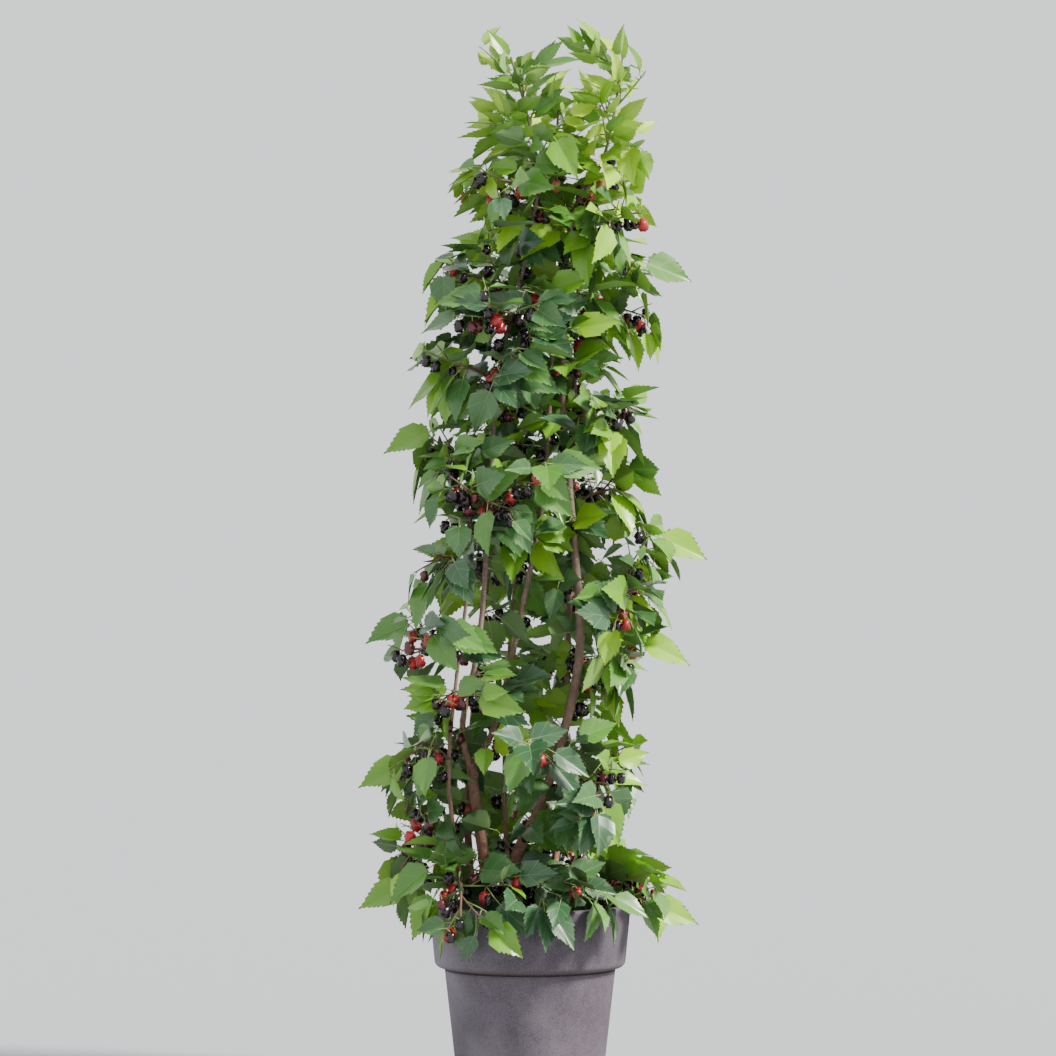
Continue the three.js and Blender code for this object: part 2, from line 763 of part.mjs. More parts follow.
// The seeded rule of growth. Each shoot bears nodes in turn, and each node bears a leaf on one side and a
// twig on the other. A twig bears leaves on either side in turn, and ends in one. Each leaf and twig has a few
// tries at a place, and is left off where every try leaves its space or touches a limb, a twig or another leaf.
function grow(shoot, index) {
  const mass = { leaves: [], berries: [], twigs: [] };
  let count = 0;
  const nextRandom = () => seededRandom(SEED + index * MASS_SEED_STEP + count++);
  const length = shoot.curve.getLength();
  const nodes = Math.max(3, Math.round(length / SHOOT_NODE_STEP));
  const nodeShare = (node) => (node - SHOOT_NODE_START) / nodes;

  const outwardFrom = (place, node) => {
    if (shoot.steep) return outwardAt(node * GOLDEN_TURN + index);
    return place.clone().sub(crownAt(place.z).middle).setZ(0).normalize();
  };
  const keepTwig = (twig) => mass.twigs.push({ ...twig, beads: twigBeads(twig) });
  const addLeaf = (root, outward, side) => {
    const random = nextRandom();
    const young = root.z > YOUNG_HEIGHT;
    for (let attempt = 0; attempt < LEAF_TRIES; attempt++) {
      const turned = attempt < LEAF_TRIES / 2 ? side : -side;
      const leaf = wholeLeaf(leafAt(random, root, outward, turned, young));
      if (leafFits(shoot, leaf) && clearOfOwn(leaf, shoot, mass)) {
        mass.leaves.push(leaf);
        return;
      }
    }
  };

  for (let node = 1; node < nodes; node++) {
    const random = nextRandom();
    const along = shoot.curve.getTangent(nodeShare(node));
    const root = shootPlace(shoot, nodeShare(node) + NODE_SPREAD / length);
    const turn = (shoot.steep ? node * STEEP_TURN : 0) + (node % 2 ? Math.PI : 0);
    for (let attempt = 0; attempt < TWIG_TRIES; attempt++) {
      const twig = twigAt(random, root, along, turn, 1 - attempt / TWIG_TRIES);
      if (twigFits(shoot, twig)) {
        keepTwig(twig);
        break;
      }
    }
  }

  // A long twig runs out to each far tip that stands in this mass's space.
  for (const [x, y, z] of LONG_TIPS) {
    const end = point(x, y, z);
    if (!insideSpace(shoot, end, SPACE_MARGIN)) continue;
    const outward = end.clone().sub(crownAt(z).middle).setZ(0).normalize();
    const frame = leafFrame(outward.addScaledVector(UP, -LONG_TIP_DIP), UP, 0);
    const root = end
      .clone()
      .addScaledVector(frame.d, -LEAF_LENGTH)
      .addScaledVector(frame.n, LEAF_DROOP_SHARE * LEAF_LENGTH);
    const from = shootPlace(shoot, LONG_TIP_SHARE);
    keepTwig({ from, to: root, length: from.distanceTo(root) });
    mass.leaves.push(wholeLeaf({ root: from.clone().lerp(root, TWIG_END), length: LEAF_LENGTH, ...frame }));
  }

  // A leader ends in the leaf whose tip is set.
  if (shoot.leafTip) {
    const root = shootPlace(shoot, TWIG_END);
    const direction = shoot.leafTip.clone().sub(root);
    const frame = leafFrame(direction, UP.clone().addScaledVector(outwardAt(index), LEADER_LEAF_FACING), 0);
    frame.d.addScaledVector(frame.n, LEAF_DROOP_SHARE);
    mass.leaves.push(wholeLeaf({ root, length: direction.length(), ...frame }));
  }

  for (let node = 1; node <= nodes; node++) {
    const root = shootPlace(shoot, nodeShare(node));
    addLeaf(root, outwardFrom(root, node), node % 2 ? 1 : -1);
  }
  mass.twigs.forEach(({ from, to, length: twigLength }, node) => {
    const steps = Math.max(1, Math.round(twigLength / TWIG_NODE_STEP));
    for (let step = 1; step <= steps; step++) {
      const spot = from.clone().lerp(to, (step - TWIG_NODE_START) / steps);
      addLeaf(spot, outwardFrom(spot, node + step), (step + node) % 2 ? 1 : -1);
    }
    addLeaf(from.clone().lerp(to, TWIG_END), to.clone().sub(from).setZ(0).normalize(), END_LEAF_SIDE);
  });

  // Berries hang near the roots of the twigs, clear of the leaves.
  for (const { from, to } of mass.twigs) {
    const random = nextRandom();
    const root = from.clone().lerp(to, BERRY_SHARE);
    const body = [0.5, 1].map((share) => root.clone().addScaledVector(UP, -share * BERRY_LENGTH));
    const fits = body.every(
      (place) =>
        isFree(shoot, place, BERRY_RADIUS) &&
        mass.leaves.every(({ blade }) => blade.every((spot) => spot.distanceTo(place) > BERRY_SPREAD)),
    );
    if (fits && random() < BERRY_CHANCE) mass.berries.push({ root, turn: random() * Math.PI });
  }
  return mass;
}

function massSolid(shoot, { leaves, berries, twigs }) {
  const pieces = [
    shootSolid(shoot),
    ...twigs.map(twigSolid),
    ...leaves.map(leafSolid),
    ...berries.map(berrySolid),
  ];
  const fused = wasm.Manifold.union(pieces);
  return largestBody(shoot.limb ? fused.subtract(limbSolid(limbNamed(shoot.limb), GAP)) : fused);
}

// A limb from the soil is cut level at the ground. One that leaves another is cut to sit on it, and clear of
// the limb beside it on the same fork.
function cutLimb(each, index) {
  const solid = limbSolid(each, 0);
  if (!each.parent) {
    const ground = new THREE.BoxGeometry(2 * RIM_RADIUS, 2 * RIM_RADIUS, GROUND).translate(0, 0, GROUND / 2);
    return largestBody(solid.subtract(solidOf(ground)));
  }
  const neighbours = LIMBS.filter(
    ({ name, parent }, other) => name === each.parent || (parent === each.parent && other < index),
  );
  return largestBody(neighbours.reduce((cut, other) => cut.subtract(limbSolid(other, GAP)), solid));
}

const bush = new THREE.Group();
bush.name = "potted_mulberry_bush";
bush.add(namedMesh("pot", pot(), "clay"));
bush.add(namedMesh("soil", soil(), "soil"));

const wood = new THREE.Group();
LIMBS.forEach((each, index) => wood.add(namedMesh(each.name, geometryOf(cutLimb(each, index)), "bark")));
bush.add(wood);

const foliage = new THREE.Group();
SHOOTS.forEach((shoot, index) => {
  foliage.add(namedMesh(shoot.name, geometryOf(massSolid(shoot, grow(shoot, index))), "foliage"));
});
bush.add(foliage);

export default bush;
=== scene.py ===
"""Dresses a packed mulberry bush with bark, twigs, leaves, berries, soil and a clay pot.

The plant grows here by the same rule as its solids do: the same limbs, shoots and twigs, from the same
seeds. The twigs then bear finer twigs, and leaves and berries of life size. Lengths of the rule are in
millimetres, like the solids' own, and meshes are in metres.
"""

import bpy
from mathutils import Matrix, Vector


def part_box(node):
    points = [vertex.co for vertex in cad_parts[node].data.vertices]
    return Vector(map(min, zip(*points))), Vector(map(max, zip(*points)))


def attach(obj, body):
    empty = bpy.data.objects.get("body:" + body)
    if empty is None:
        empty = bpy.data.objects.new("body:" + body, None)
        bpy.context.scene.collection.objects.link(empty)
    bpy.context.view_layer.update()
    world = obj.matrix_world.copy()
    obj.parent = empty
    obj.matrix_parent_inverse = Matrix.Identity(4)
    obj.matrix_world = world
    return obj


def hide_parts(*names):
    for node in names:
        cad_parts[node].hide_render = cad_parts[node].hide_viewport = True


bl_info = {
    "name": "Potted Mulberry Bush",
    "version": (1, 0, 0),
    "blender": (4, 5, 0),
    "location": "View3D > Sidebar > Mulberry",
    "description": "Grows the bark, leaves and fruit of a potted mulberry bush on its packed solids",
    "category": "Add Mesh",
}

import functools
import math

import bmesh
import bpy
import numpy as np
from mathutils import Matrix, Vector, noise

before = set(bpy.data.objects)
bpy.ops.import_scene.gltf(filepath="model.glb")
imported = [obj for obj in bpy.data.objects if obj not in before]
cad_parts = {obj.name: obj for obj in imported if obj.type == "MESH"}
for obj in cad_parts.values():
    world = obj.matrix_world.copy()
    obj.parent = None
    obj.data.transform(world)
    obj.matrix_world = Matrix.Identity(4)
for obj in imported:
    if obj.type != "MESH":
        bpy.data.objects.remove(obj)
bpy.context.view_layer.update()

MM = 0.001
METRE = 1000
BODY = "root"

# Nearly a whole turn, in radians, for what may point any way
LOOSE_TURN = 6

# Pot and soil
POT_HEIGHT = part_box("pot")[1][2] / MM
BASE_RADIUS = 143
BODY_TOP_RADIUS = 169
RIM_DEPTH = 124
RIM_FOOT_RADIUS = 188
RIM_RADIUS = 200
RIM_THICKNESS = 23
WALL = 16
FLOOR = 18
SOIL_HEIGHT = 322
GAP = 0.3
POT_SIDES = 96
GROOVE_DEPTH = 5
BASE_ROUND = 3
RIM_FOOT_ROUND = 13
LIP_ROUND = 6
INNER_ROUND = 8
ROUND_STEPS = 6
RING_TOLERANCE = 0.05
SHARP_ANGLE = 42
DRAIN_HOLES = 3
DRAIN_RADIUS = 8
DRAIN_SIDES = 24
DRAIN_CIRCLE_RADIUS = 62
SOIL_SIDES = 72
SOIL_RINGS = 30
SOIL_SUNK = 1.5
SOIL_HEAPS = [(4, 14), (2.5, 60)]
CRUMB_SEED = 80000
CRUMB_MARGIN = 8
CRUMB_RAISED = 0.4
CRUMB_SIZE = {"least": 1.5, "spread": 3.5}
CRUMB_LUMPS = (0.45, 2.3)
CHIP_EVERY = 4
CHIP_SIZES = [{"least": 4, "spread": 8}, {"least": 2.5, "spread": 4}, {"least": 1, "spread": 1.2}]
CHIP_ROUND = 0.25
CHIP_TILT = 0.8
CHIP_COLOURED_FROM = 0.85

# Limbs and their bark
LIMB_RINGS = 9
LIMB_ROOT_SUNK = 6
LIMB_FOOT_SUNK = 12
TRUNK_HEIGHT = 50
GROUND = SOIL_HEIGHT + GAP
FOOT = GROUND - LIMB_FOOT_SUNK
TRUNK_TOP = GROUND + TRUNK_HEIGHT
LIMB_FOOT = TRUNK_TOP - LIMB_ROOT_SUNK
FORK = 641
BOUGH_FOOT = FORK - LIMB_ROOT_SUNK
BARK_SEED = 60000
BARK_RING_STEP = 6
THICK_LIMB = 10
THICK_LIMB_SIDES = 20
THIN_LIMB_SIDES = 14
TRUNK_DOME = 14
TRUNK_END = 1.02
TRUNK_LEAST = 0.05
UV_UNIT = 100
KNOT_FIRST = {"least": 18, "spread": 20}
KNOT_STEP = {"least": 34, "spread": 34}
KNOT_SIZE = {"least": 0.12, "spread": 0.14}
KNOT_LAST = 8
KNOT_LENGTH = (3, 0.2)
KNOT_ROUND = (0.45, 0.55)
GIRTH_DEPTH = 0.10
GIRTH_SPOT = (1.1, 34)
FURROW_DEPTH = (0.05, 0.12)
FURROW_SPOT = (3.2, 60)
FURROWED_HEIGHT = 260
LIMB_SHIFT = 7

# Crown
TIER_NAMES = ["skirt", "low", "lower", "waist", "middle", "upper", "high", "top"]
LOWEST_TIER = 425
TIER_STEP = 184
SIDES_SQUARE = ["front", "right", "back", "left"]
SIDES_DIAGONAL = ["front_right", "back_right", "back_left", "front_left"]
SPIRAL_RISE = 26
SITE_STEP = 75
SPACE_MARGIN = 0.4
CLEARANCE = 2
ROUTE_CLEARANCE = 9
ROUTE_STEPS = 8
BEAD_STEP = 7
SEED = 6
MASS_SEED_STEP = 1000
POT_CLEARANCE = 4

# Shoots and twigs of the solids
SHOOT_RADIUS = 3.4
SHOOT_TIP_RADIUS = 2.4
SHOOT_RINGS = 3
SHOOT_NODE_STEP = 34
SHOOT_SHORTEST = 95
SHOOT_NODE_START = 0.3
LEAST_NODES = 3
SIDE_ARCH = {"bend": 42, "tip": 34}
SKIRT_ARCH = {"bend": 62, "tip": -30}
TIP_SHOOT_BEND = 50
TWIG_RADIUS = 2.6
TWIG_LENGTH = 88
TWIG_SHORTEST = 42
TWIG_TRIES = 16
TWIG_SIZE = {"least": 0.8, "spread": 0.45}
TWIG_YAW = {"least": 0.6, "spread": 0.6}
TWIG_LIFT = {"least": -0.68, "spread": 1.7}
NEARLY_UPRIGHT = 0.9
STEEP_TURN = 1.1
NODE_SPREAD = 12
GOLDEN_TURN = 2.4
LONG_TIP_SHARE = 0.6
LONG_TIP_DIP = 0.35
LONG_TIP_BACK = 60
LONG_TIP_FACING = 1.3
END_SHARE = 0.97

# Finer twigs, spurs and sprigs, which the dressed plant adds to the rule
FINE_SEED = 500
FINE_TWIG_STEP = 30
FINE_TWIG_START = 0.35
FINE_TWIG_TURN = 0.5
FINE_TWIG_SIZE = 0.62
FINE_TWIG_SHORTEST = 26
FINE_TWIG_RADIUS = 1.5
FINE_TWIG_ROOT_BEADS = 2
SPUR_STEP = 30
SPUR_OPEN = (390, 1100)
SPUR_OPEN_KEPT = 3
SPUR_LENGTH = {"least": 30, "spread": 45}
SPUR_LIFT = {"least": -0.3, "spread": 0.9}
SPUR_TRIES = 8
SPUR_FREE_FROM = 7
SPUR_CLEARANCE = 1
SPUR_ROOT_BEADS = 1
RIM_SPRIGS = {
    "right_limb": [(150, -170, 392), (118, -196, 384)],
    "middle_stem": [(62, -208, 388), (28, -214, 380)],
    "left_limb": [(-20, -216, 386)],
}
RIM_SPRIG_HEIGHT = 430
RIM_SPRIG_STEP = 14
RIM_SPRIG_ROOT_BEADS = 3

# Rods of the twigs' meshes: the sides and rings of a shoot, a twig and a finer twig, and their looks
ROD_SHAPES = ((7, 12), (5, 4), (4, 3))
RING_DIGITS = 5
BROWN, OLIVE, GREEN = range(3)
TWIG_TINT_SEED = 65000
TWIG_SHOWN_RADII = (2.3, 1.3)
TWIG_BEND = 2
FINE_TWIG_TIP_RADIUS = 0.9
FINE_TWIG_BEND = 1.5
YOUNG_SHOOT_HEIGHT = 1760
GREEN_TWIGS = 0.2
OLIVE_TWIGS = 0.5
GREEN_FINE_TWIGS = 0.6

# Leaves, measured from the twig's middle to the leaf's tip
LEAF_LENGTH = 124
LEAF_WIDTH_SHARE = 0.56
LEAF_WIDEST = 0.54
LEAF_FOLD_SHARE = 0.05
LEAF_DROOP_SHARE = 0.1
LEAF_STALK_SHARE = 0.1
LEAF_SIZE = {"least": 0.5, "spread": 0.52}
LEAF_YAW = {"least": 0.1, "spread": 1.5}
LEAF_PITCH = {"least": 0.4, "spread": -1.6}
LEAF_ROLL = {"least": -0.75, "spread": 1.5}
LEAF_FACING = 1.2
LEAF_REACH_SHARE = 0.6
LEADER_LEAF_FACING = 2
YOUNG_HEIGHT = 1880
YOUNG_LEAF_SIZE = {"least": 0.5, "spread": 0.3}
YOUNG_LEAF_PITCH = {"least": 0.1, "spread": 0.8}
OUTLINE_MARGIN = 0.1

# How the leaves stand: pairs go from the open lower crown to the dense upper crown
OPEN_HEIGHTS = (950, 1250)
FINE_NODE_STEP = (20, 14)
LEAF_SPREAD = (8, 6)
LEAF_TRIES = 32
TWIG_LEAF_START = 0.4
SPUR_LEAF_START = 0.2
END_LEAF_SIDE = 0.5
NEAR_ROD_SHARE = 0.62
NEAR_LEAF_SHARE = 0.55
BARE_SHARE = 0.16
LEAF_LIMB_CLEARANCE = 1

# Leaf cuts: rows of a flat blade's corners, from the stalk to the tip, along the midrib and round the edge
LEAF_CUTS = 6
YOUNG_LEAF_CUTS = 3
YOUNG_LEAF_WIDTH = 0.72
LEAF_CUT_SEED = 9000
LEAF_COLUMNS = 5
LEAF_ROWS = 7
BLADE_ROWS = np.arange(LEAF_ROWS + 1)
RIB_AT_ROWS = [0, 0.004, 0.018, 0.20, 0.214, 0.44, 0.454, 1]
EDGE_AT_ROWS = np.array([0, 3.94, 4.04, 5.73, 5.82, 7.38, 7.46, 10]) / 10
MID_COLUMN_SHARE = 0.52
RIB_HALF_WIDTH = 0.012
EDGE_STEPS_AT_STALK = 8
EDGE_STEPS = 6
EDGE_TANGENT_STEP = 0.01
TOOTH_DEPTH = 0.027
TOOTH_SWEEP = 0.7
TOOTH_BY_WIDTH = (0.4, 1.7)
TOOTHLESS_ROOT = 0.05
TOOTHLESS_TIP = 0.1
BLADE_FOLD = {"least": 0.05, "spread": 0.12}
BLADE_DROOP = {"least": 0.07, "spread": 0.14}
BLADE_BREADTH = {"least": 0.82, "spread": 0.2}
BLADE_WAVE = {"least": 0.018, "spread": 0.032}
BLADE_TWIST = 0.5
BLADE_SWEEP = 0.14
BLADE_CROWN = (1.5, 0.7)
WAVES_ALONG = 9
BLADE_THICKNESS = 1
STALK_SHARE = 0.2
STALK_OVERLAP = 0.02
STALK_ROOT_SHARE = 0.011
STALK_TIP_SHARE = 0.008
STALK_SIDES = 4
FLAT_JOIN = 0.01
JOIN = 1e-4

# Leaf materials: the kinds of face, then each face's shares of leaf and vein colour, roughness and gloss
UPPER, VEIN, UNDER, STALK = range(4)
LEAF_FACES = [("upper", 1, 0, 0.31, 0.55), ("vein", 0.7, 0.3, 0.5, 0.5), ("under", 0.66, 0.26, 0.62, 0.5)]
VEIN_COLOUR = (0.26, 0.36, 0.14)
STALK_ROUGHNESS = 0.5
LEAF_TINTS = 6
LEAF_TINT_SEED = 70000
SPRAY_LEAVES = 5
# Painted light: where the top starts to pale and over what rise, and the shares of the half-width that pale
# the sides
PALE_FROM = 1640
PALE_OVER = 280
EDGE_FROM = 0.35
EDGE_TO = 0.8

# How much each thing adds to a leaf's paleness, whose steps are the tints
# Painted light: top is young growth and painted sunlight; back, edge and right paint sunlight and backlight
PALER = {"all": 0.41, "top": 0.38, "back": 0.26, "edge": 0.42, "right": 0.1, "spray": 0.6, "leaf": 0.3}
LEAF_PIECES = [
    ("skirt_leaves", 0, 640),
    ("lower_leaves", 640, 1010),
    ("middle_leaves", 1010, 1400),
    ("upper_leaves", 1400, 1730),
    ("top_leaves", 1730, 2200),
]

# Berries
BERRY_RADIUS = 9
BERRY_LENGTH = 23
BERRY_WIDTH_SHARE = 0.84
BERRY_SHARES = (0.12, 0.36, 0.66)
BERRY_CHANCE = 0.62
BERRY_CLUSTER = 4
BERRY_TURN = 2.1
BERRY_HANG = {"least": 4, "spread": 6}
BERRY_SIZE = {"least": 0.85, "spread": 0.3}
BERRY_NEARNESS = 0.85
BERRY_BODY_SHARES = (0.1, 0.5, 0.9)
BERRY_HIGHEST = 1850
BERRY_REACH = 0.95
BERRY_SIDES = 10
BERRY_RINGS = 7
BERRY_BEADS = 0.2
BERRY_STALK_SHAPE = (4, 2)
BERRY_STALK_RADIUS = 0.8
BERRY_STALK_SHORT = 1.5
BERRY_STALK_SLOT = 4
RIPENESS_SPREAD = 0.36
RIPENESS_STEPS = (0.32, 0.2, -0.06)

# What stays in sight: a share of the clusters of berries, and limbs between heights, seen from the front
SHOWN_CLUSTERS = 0.55
SHOWN_WIDTH = 27
SHOWN_HEIGHT = 27
SHOWN_LIMBS = {
    "left_limb": [(440, 520), (560, 640)],
    "right_limb": [(460, 500), (560, 700), (830, 960), (1060, 1200)],
    "middle_stem": [(470, 520), (620, 690), (940, 1000)],
    "left_bough": [(660, 760), (960, 1060)],
    "middle_bough": [(680, 760), (1000, 1160)],
    "left_stem": [(560, 700), (820, 900)],
}
SHOWN_LIMB_STEP = 45
FRONT = (0, -1, 0)

# The Mix node's colours share their sockets' names with its numbers, so they go by index
MIX_COLOURS = (6, 7)
MIX_RESULT = 2

# Stage
FLOOR_REACH = 60
SKY_COLOUR = (0.96, 0.98, 1.0, 1)
SKY_STRENGTH = 1.25
LIGHT_AIM = (0, 0, 1.1)
KEY_PLACE = (6.5, -2.2, 7.5)
KEY_STRENGTH = 9.13
KEY_SPREAD = 12
KEY_COLOUR = (1.0, 0.96, 0.9)
CAMERA_LENS = 162.5
CAMERA_SENSOR = 36
CAMERA_ASIDE = -0.004

# The half-width of the crown with its leaf tips, and how far its middle leans to the right, at a few heights
CROWN_OUTLINE = np.array([
    (190, 225, -10),
    (380, 325, -5),
    (600, 290, -35),
    (760, 255, -20),
    (860, 290, -5),
    (1030, 280, 25),
    (1200, 250, 5),
    (1460, 262, 12),
    (1750, 215, 38),
    (1920, 205, 52),
    (2100, 160, 58),
], dtype=float)

# The masses at the limbs' tips: each one's limb, its shoot's tip, and its highest leaf's tip if it has one
TIP_SHOOTS = [
    ("left_leader_foliage", "left_bough", (-38, -30, 2035), (-85, -38, 2089)),
    ("middle_leader_foliage", "middle_bough", (58, 34, 1975), None),
    ("right_leader_foliage", "right_limb", (182, -6, 2030), (186, -14, 2091)),
    ("left_stem_foliage", "left_stem", (-128, -132, 1185), None),
    ("middle_stem_foliage", "middle_stem", (-10, 64, 1110), None),
    ("back_left_foliage", "back_left_stem", (-44, 126, 1610), None),
    ("back_right_foliage", "back_right_stem", (126, 128, 1705), None),
]

# The tips of the leaves that stand furthest out of the outline
LONG_TIPS = [
    (350, -30, 1040),
    (322, 40, 1585),
    (316, -60, 835),
    (331, -50, 318),
    (-290, -30, 1250),
    (-330, 20, 870),
    (-340, -40, 590),
    (-340, -30, 350),
    (40, -325, 1180),
    (10, -330, 640),
    (-30, 322, 960),
    (60, 318, 1420),
    (-40, 330, 500),
]

# One half of a blade's outline, from the stalk round the lobe to the tip, in blade lengths
BLADE_OUTLINE_PLACES = [
    (0, 0.012, 0),
    (-0.018, 0.06, 0),
    (-0.008, 0.14, 0),
    (0.065, 0.24, 0),
    (0.20, 0.315, 0),
    (0.37, 0.332, 0),
    (0.54, 0.28, 0),
    (0.70, 0.178, 0),
    (0.83, 0.080, 0),
    (0.93, 0.024, 0),
    (1, 0, 0),
]

UP = np.array([0.0, 0.0, 1.0])

# The draws' recipe
WORD = 0xFFFFFFFF
DRAW_STRIDE = 0x6D2B79F5


def point(x, y, z):
    return np.array([x, y, z], dtype=float)


def unit(vector):
    return vector / np.linalg.norm(vector)


def levelled(vector):
    """The level direction of a vector, one unit long."""
    return unit(point(vector[0], vector[1], 0))


def turned_about(vector, axis, angle):
    cos, sin = math.cos(angle), math.sin(angle)
    return vector * cos + np.cross(axis, vector) * sin + axis * (axis @ vector) * (1 - cos)


def seeded_random(seed):
    """The same seed always gives the same run of numbers from 0 to 1."""
    state = seed & WORD

    def draw():
        nonlocal state
        state = (state + DRAW_STRIDE) & WORD
        t = ((state ^ (state >> 15)) * (state | 1)) & WORD
        t ^= (t + ((t ^ (t >> 7)) * (t | 61) & WORD)) & WORD
        return ((t ^ (t >> 14)) & WORD) / (WORD + 1)

    return draw


def within(draw, bounds):
    return bounds["least"] + bounds["spread"] * draw()


def cavity_radius(height):
    """The radius of the pot's cavity at a height."""
    at_floor = BASE_RADIUS - WALL
    at_lip = RIM_RADIUS - RIM_THICKNESS
    return at_floor + (at_lip - at_floor) * (height - FLOOR) / (POT_HEIGHT - FLOOR)


def pot_outer_radius(height):
    rim_foot = POT_HEIGHT - RIM_DEPTH
    body = BASE_RADIUS + (BODY_TOP_RADIUS - BASE_RADIUS) * height / rim_foot
    rim = RIM_FOOT_RADIUS + (RIM_RADIUS - RIM_FOOT_RADIUS) * (height - rim_foot) / RIM_DEPTH
    return np.where(height < rim_foot, body, rim)


class SmoothCurve:
    """A curve through a list of points, each stretch bending evenly into the next."""

    def __init__(self, points):
        self.points = [point(*each) for each in points]

    def place(self, share):
        last = len(self.points) - 1
        start = min(int(last * share), last - 1)
        t = last * share - start
        p1, p2 = self.points[start], self.points[start + 1]
        p0 = self.points[start - 1] if start > 0 else 2 * p1 - p2
        p3 = self.points[start + 2] if start + 2 <= last else 2 * p2 - p1
        t0, t1 = 0.5 * (p2 - p0), 0.5 * (p3 - p1)
        return p1 + t0 * t + (3 * (p2 - p1) - 2 * t0 - t1) * t**2 + (2 * (p1 - p2) + t0 + t1) * t**3


BLADE_OUTLINE = SmoothCurve(BLADE_OUTLINE_PLACES)


class Bow:
    """A curve from a root to a tip that leans towards a third point."""

    def __init__(self, root, bend, tip):
        self.root, self.bend, self.tip = root, bend, tip

    def place(self, share):
        rest = 1 - share
        return rest * rest * self.root + 2 * rest * share * self.bend + share * share * self.tip


def tangent(curve, share, step=0.0001):
    return unit(curve.place(min(1, share + step)) - curve.place(max(0, share - step)))


def curve_length(curve, steps=200):
    places = np.array([curve.place(i / steps) for i in range(steps + 1)])
    return float(np.linalg.norm(np.diff(places, axis=0), axis=1).sum())


def distance_to_path(place, path):
    """The least distance from a place to a path, and that to each of its stretches."""
    starts, along = path[:-1], np.diff(path, axis=0)
    shares = ((place - starts) * along).sum(1) / (along**2).sum(1)
    nearest = starts + along * np.clip(shares, 0, 1)[:, None]
    return np.linalg.norm(nearest - place, axis=1)


class Limb:
    """A limb is drawn by where its middle runs, from root to tip, and by its radius at each end."""

    def __init__(self, name, radius, tip_radius, flare, route):
        self.name, self.radius, self.tip_radius, self.flare = name, radius, tip_radius, flare
        self.curve = SmoothCurve(route)
        shares = np.arange(LIMB_RINGS + 1) / LIMB_RINGS
        self.path = np.array([self.curve.place(share) for share in shares])
        self.radii = np.array([self.radius_at(share) for share in shares])

    def radius_at(self, share):
        taper = self.radius + (self.tip_radius - self.radius) * share
        return taper + self.flare * math.exp(-share * LIMB_RINGS)

    def middle_at(self, height):
        """The middle of the limb at a height, or nothing where it doesn't reach."""
        for low, high in zip(self.path, self.path[1:]):
            if low[2] <= height <= high[2]:
                return low + (high - low) * (height - low[2]) / (high[2] - low[2])
        return None


LIMBS = [
    Limb("trunk", 22, 19, 13, [
        (-75, 6, FOOT),
        (-74, 6, GROUND + TRUNK_HEIGHT / 2),
        (-73, 6, TRUNK_TOP),
    ]),
    Limb("left_limb", 11.5, 10.5, 0, [
        (-83, 4, LIMB_FOOT),
        (-92, 0, 455),
        (-107, -6, 560),
        (-117, -12, FORK),
    ]),
    Limb("right_limb", 12, 4, 0, [
        (-62, 8, LIMB_FOOT),
        (-26, 6, 460),
        (30, -2, 580),
        (88, -6, 790),
        (98, 0, 930),
        (79, 12, 1180),
        (64, 18, 1400),
        (80, 12, 1700),
        (139, 4, 1822),
    ]),
    Limb("left_bough", 6.4, 3.6, 0, [
        (-121, -14, BOUGH_FOOT),
        (-133, -24, 720),
        (-101, -40, 880),
        (-82, -44, 1110),
        (-62, -38, 1400),
        (4, -26, 1690),
        (14, -24, 1800),
    ]),
    Limb("middle_bough", 6.8, 3.8, 0, [
        (-112, -9, BOUGH_FOOT),
        (-66, 2, 725),
        (-16, 8, 945),
        (26, 4, 1175),
        (44, 0, 1480),
        (50, 4, 1790),
    ]),
    Limb("left_stem", 5.4, 3.2, 3, [
        (-122, -42, FOOT),
        (-150, -56, 500),
        (-158, -66, 680),
        (-114, -80, 1050),
    ]),
    Limb("middle_stem", 4.8, 3.2, 3, [
        (-38, 46, FOOT),
        (-50, 54, 540),
        (-48, 52, 760),
        (-30, 48, 1000),
    ]),
    Limb("back_left_stem", 7.4, 3.6, 4, [
        (-112, 68, FOOT),
        (-124, 84, 560),
        (-98, 94, 900),
        (-50, 86, 1250),
        (-30, 74, 1500),
    ]),
    Limb("back_right_stem", 7.2, 3.6, 4, [
        (34, 66, FOOT),
        (66, 88, 600),
        (80, 94, 1000),
        (88, 84, 1350),
        (96, 76, 1590),
    ]),
]


def limb_named(name):
    return next(each for each in LIMBS if each.name == name)


def crown_spread(heights):
    """The crown's half-width at one or more heights, and how far its middle leans to the right."""
    return [np.interp(heights, CROWN_OUTLINE[:, 0], CROWN_OUTLINE[:, column]) for column in (1, 2)]


def crown_at(height):
    """The crown's half-width and its middle at a height."""
    reach, lean = crown_spread(height)
    return reach, point(lean, 0, height)


def outward_at(azimuth):
    """Outward from the column, with azimuth 0 at the front and a quarter turn at the right."""
    return point(math.sin(azimuth), -math.cos(azimuth), 0)


def beads_along(path, radius_at):
    """Places strung along a path and their radii, close enough that no leaf passes between two of them."""
    places, radii = [], []
    for i in range(1, len(path)):
        steps = math.ceil(np.linalg.norm(path[i] - path[i - 1]) / BEAD_STEP)
        for step in range(steps + 1):
            places.append(path[i - 1] + (path[i] - path[i - 1]) * step / steps)
            radii.append(radius_at((i - 1 + step / steps) / (len(path) - 1)))
    return np.array(places), np.array(radii)


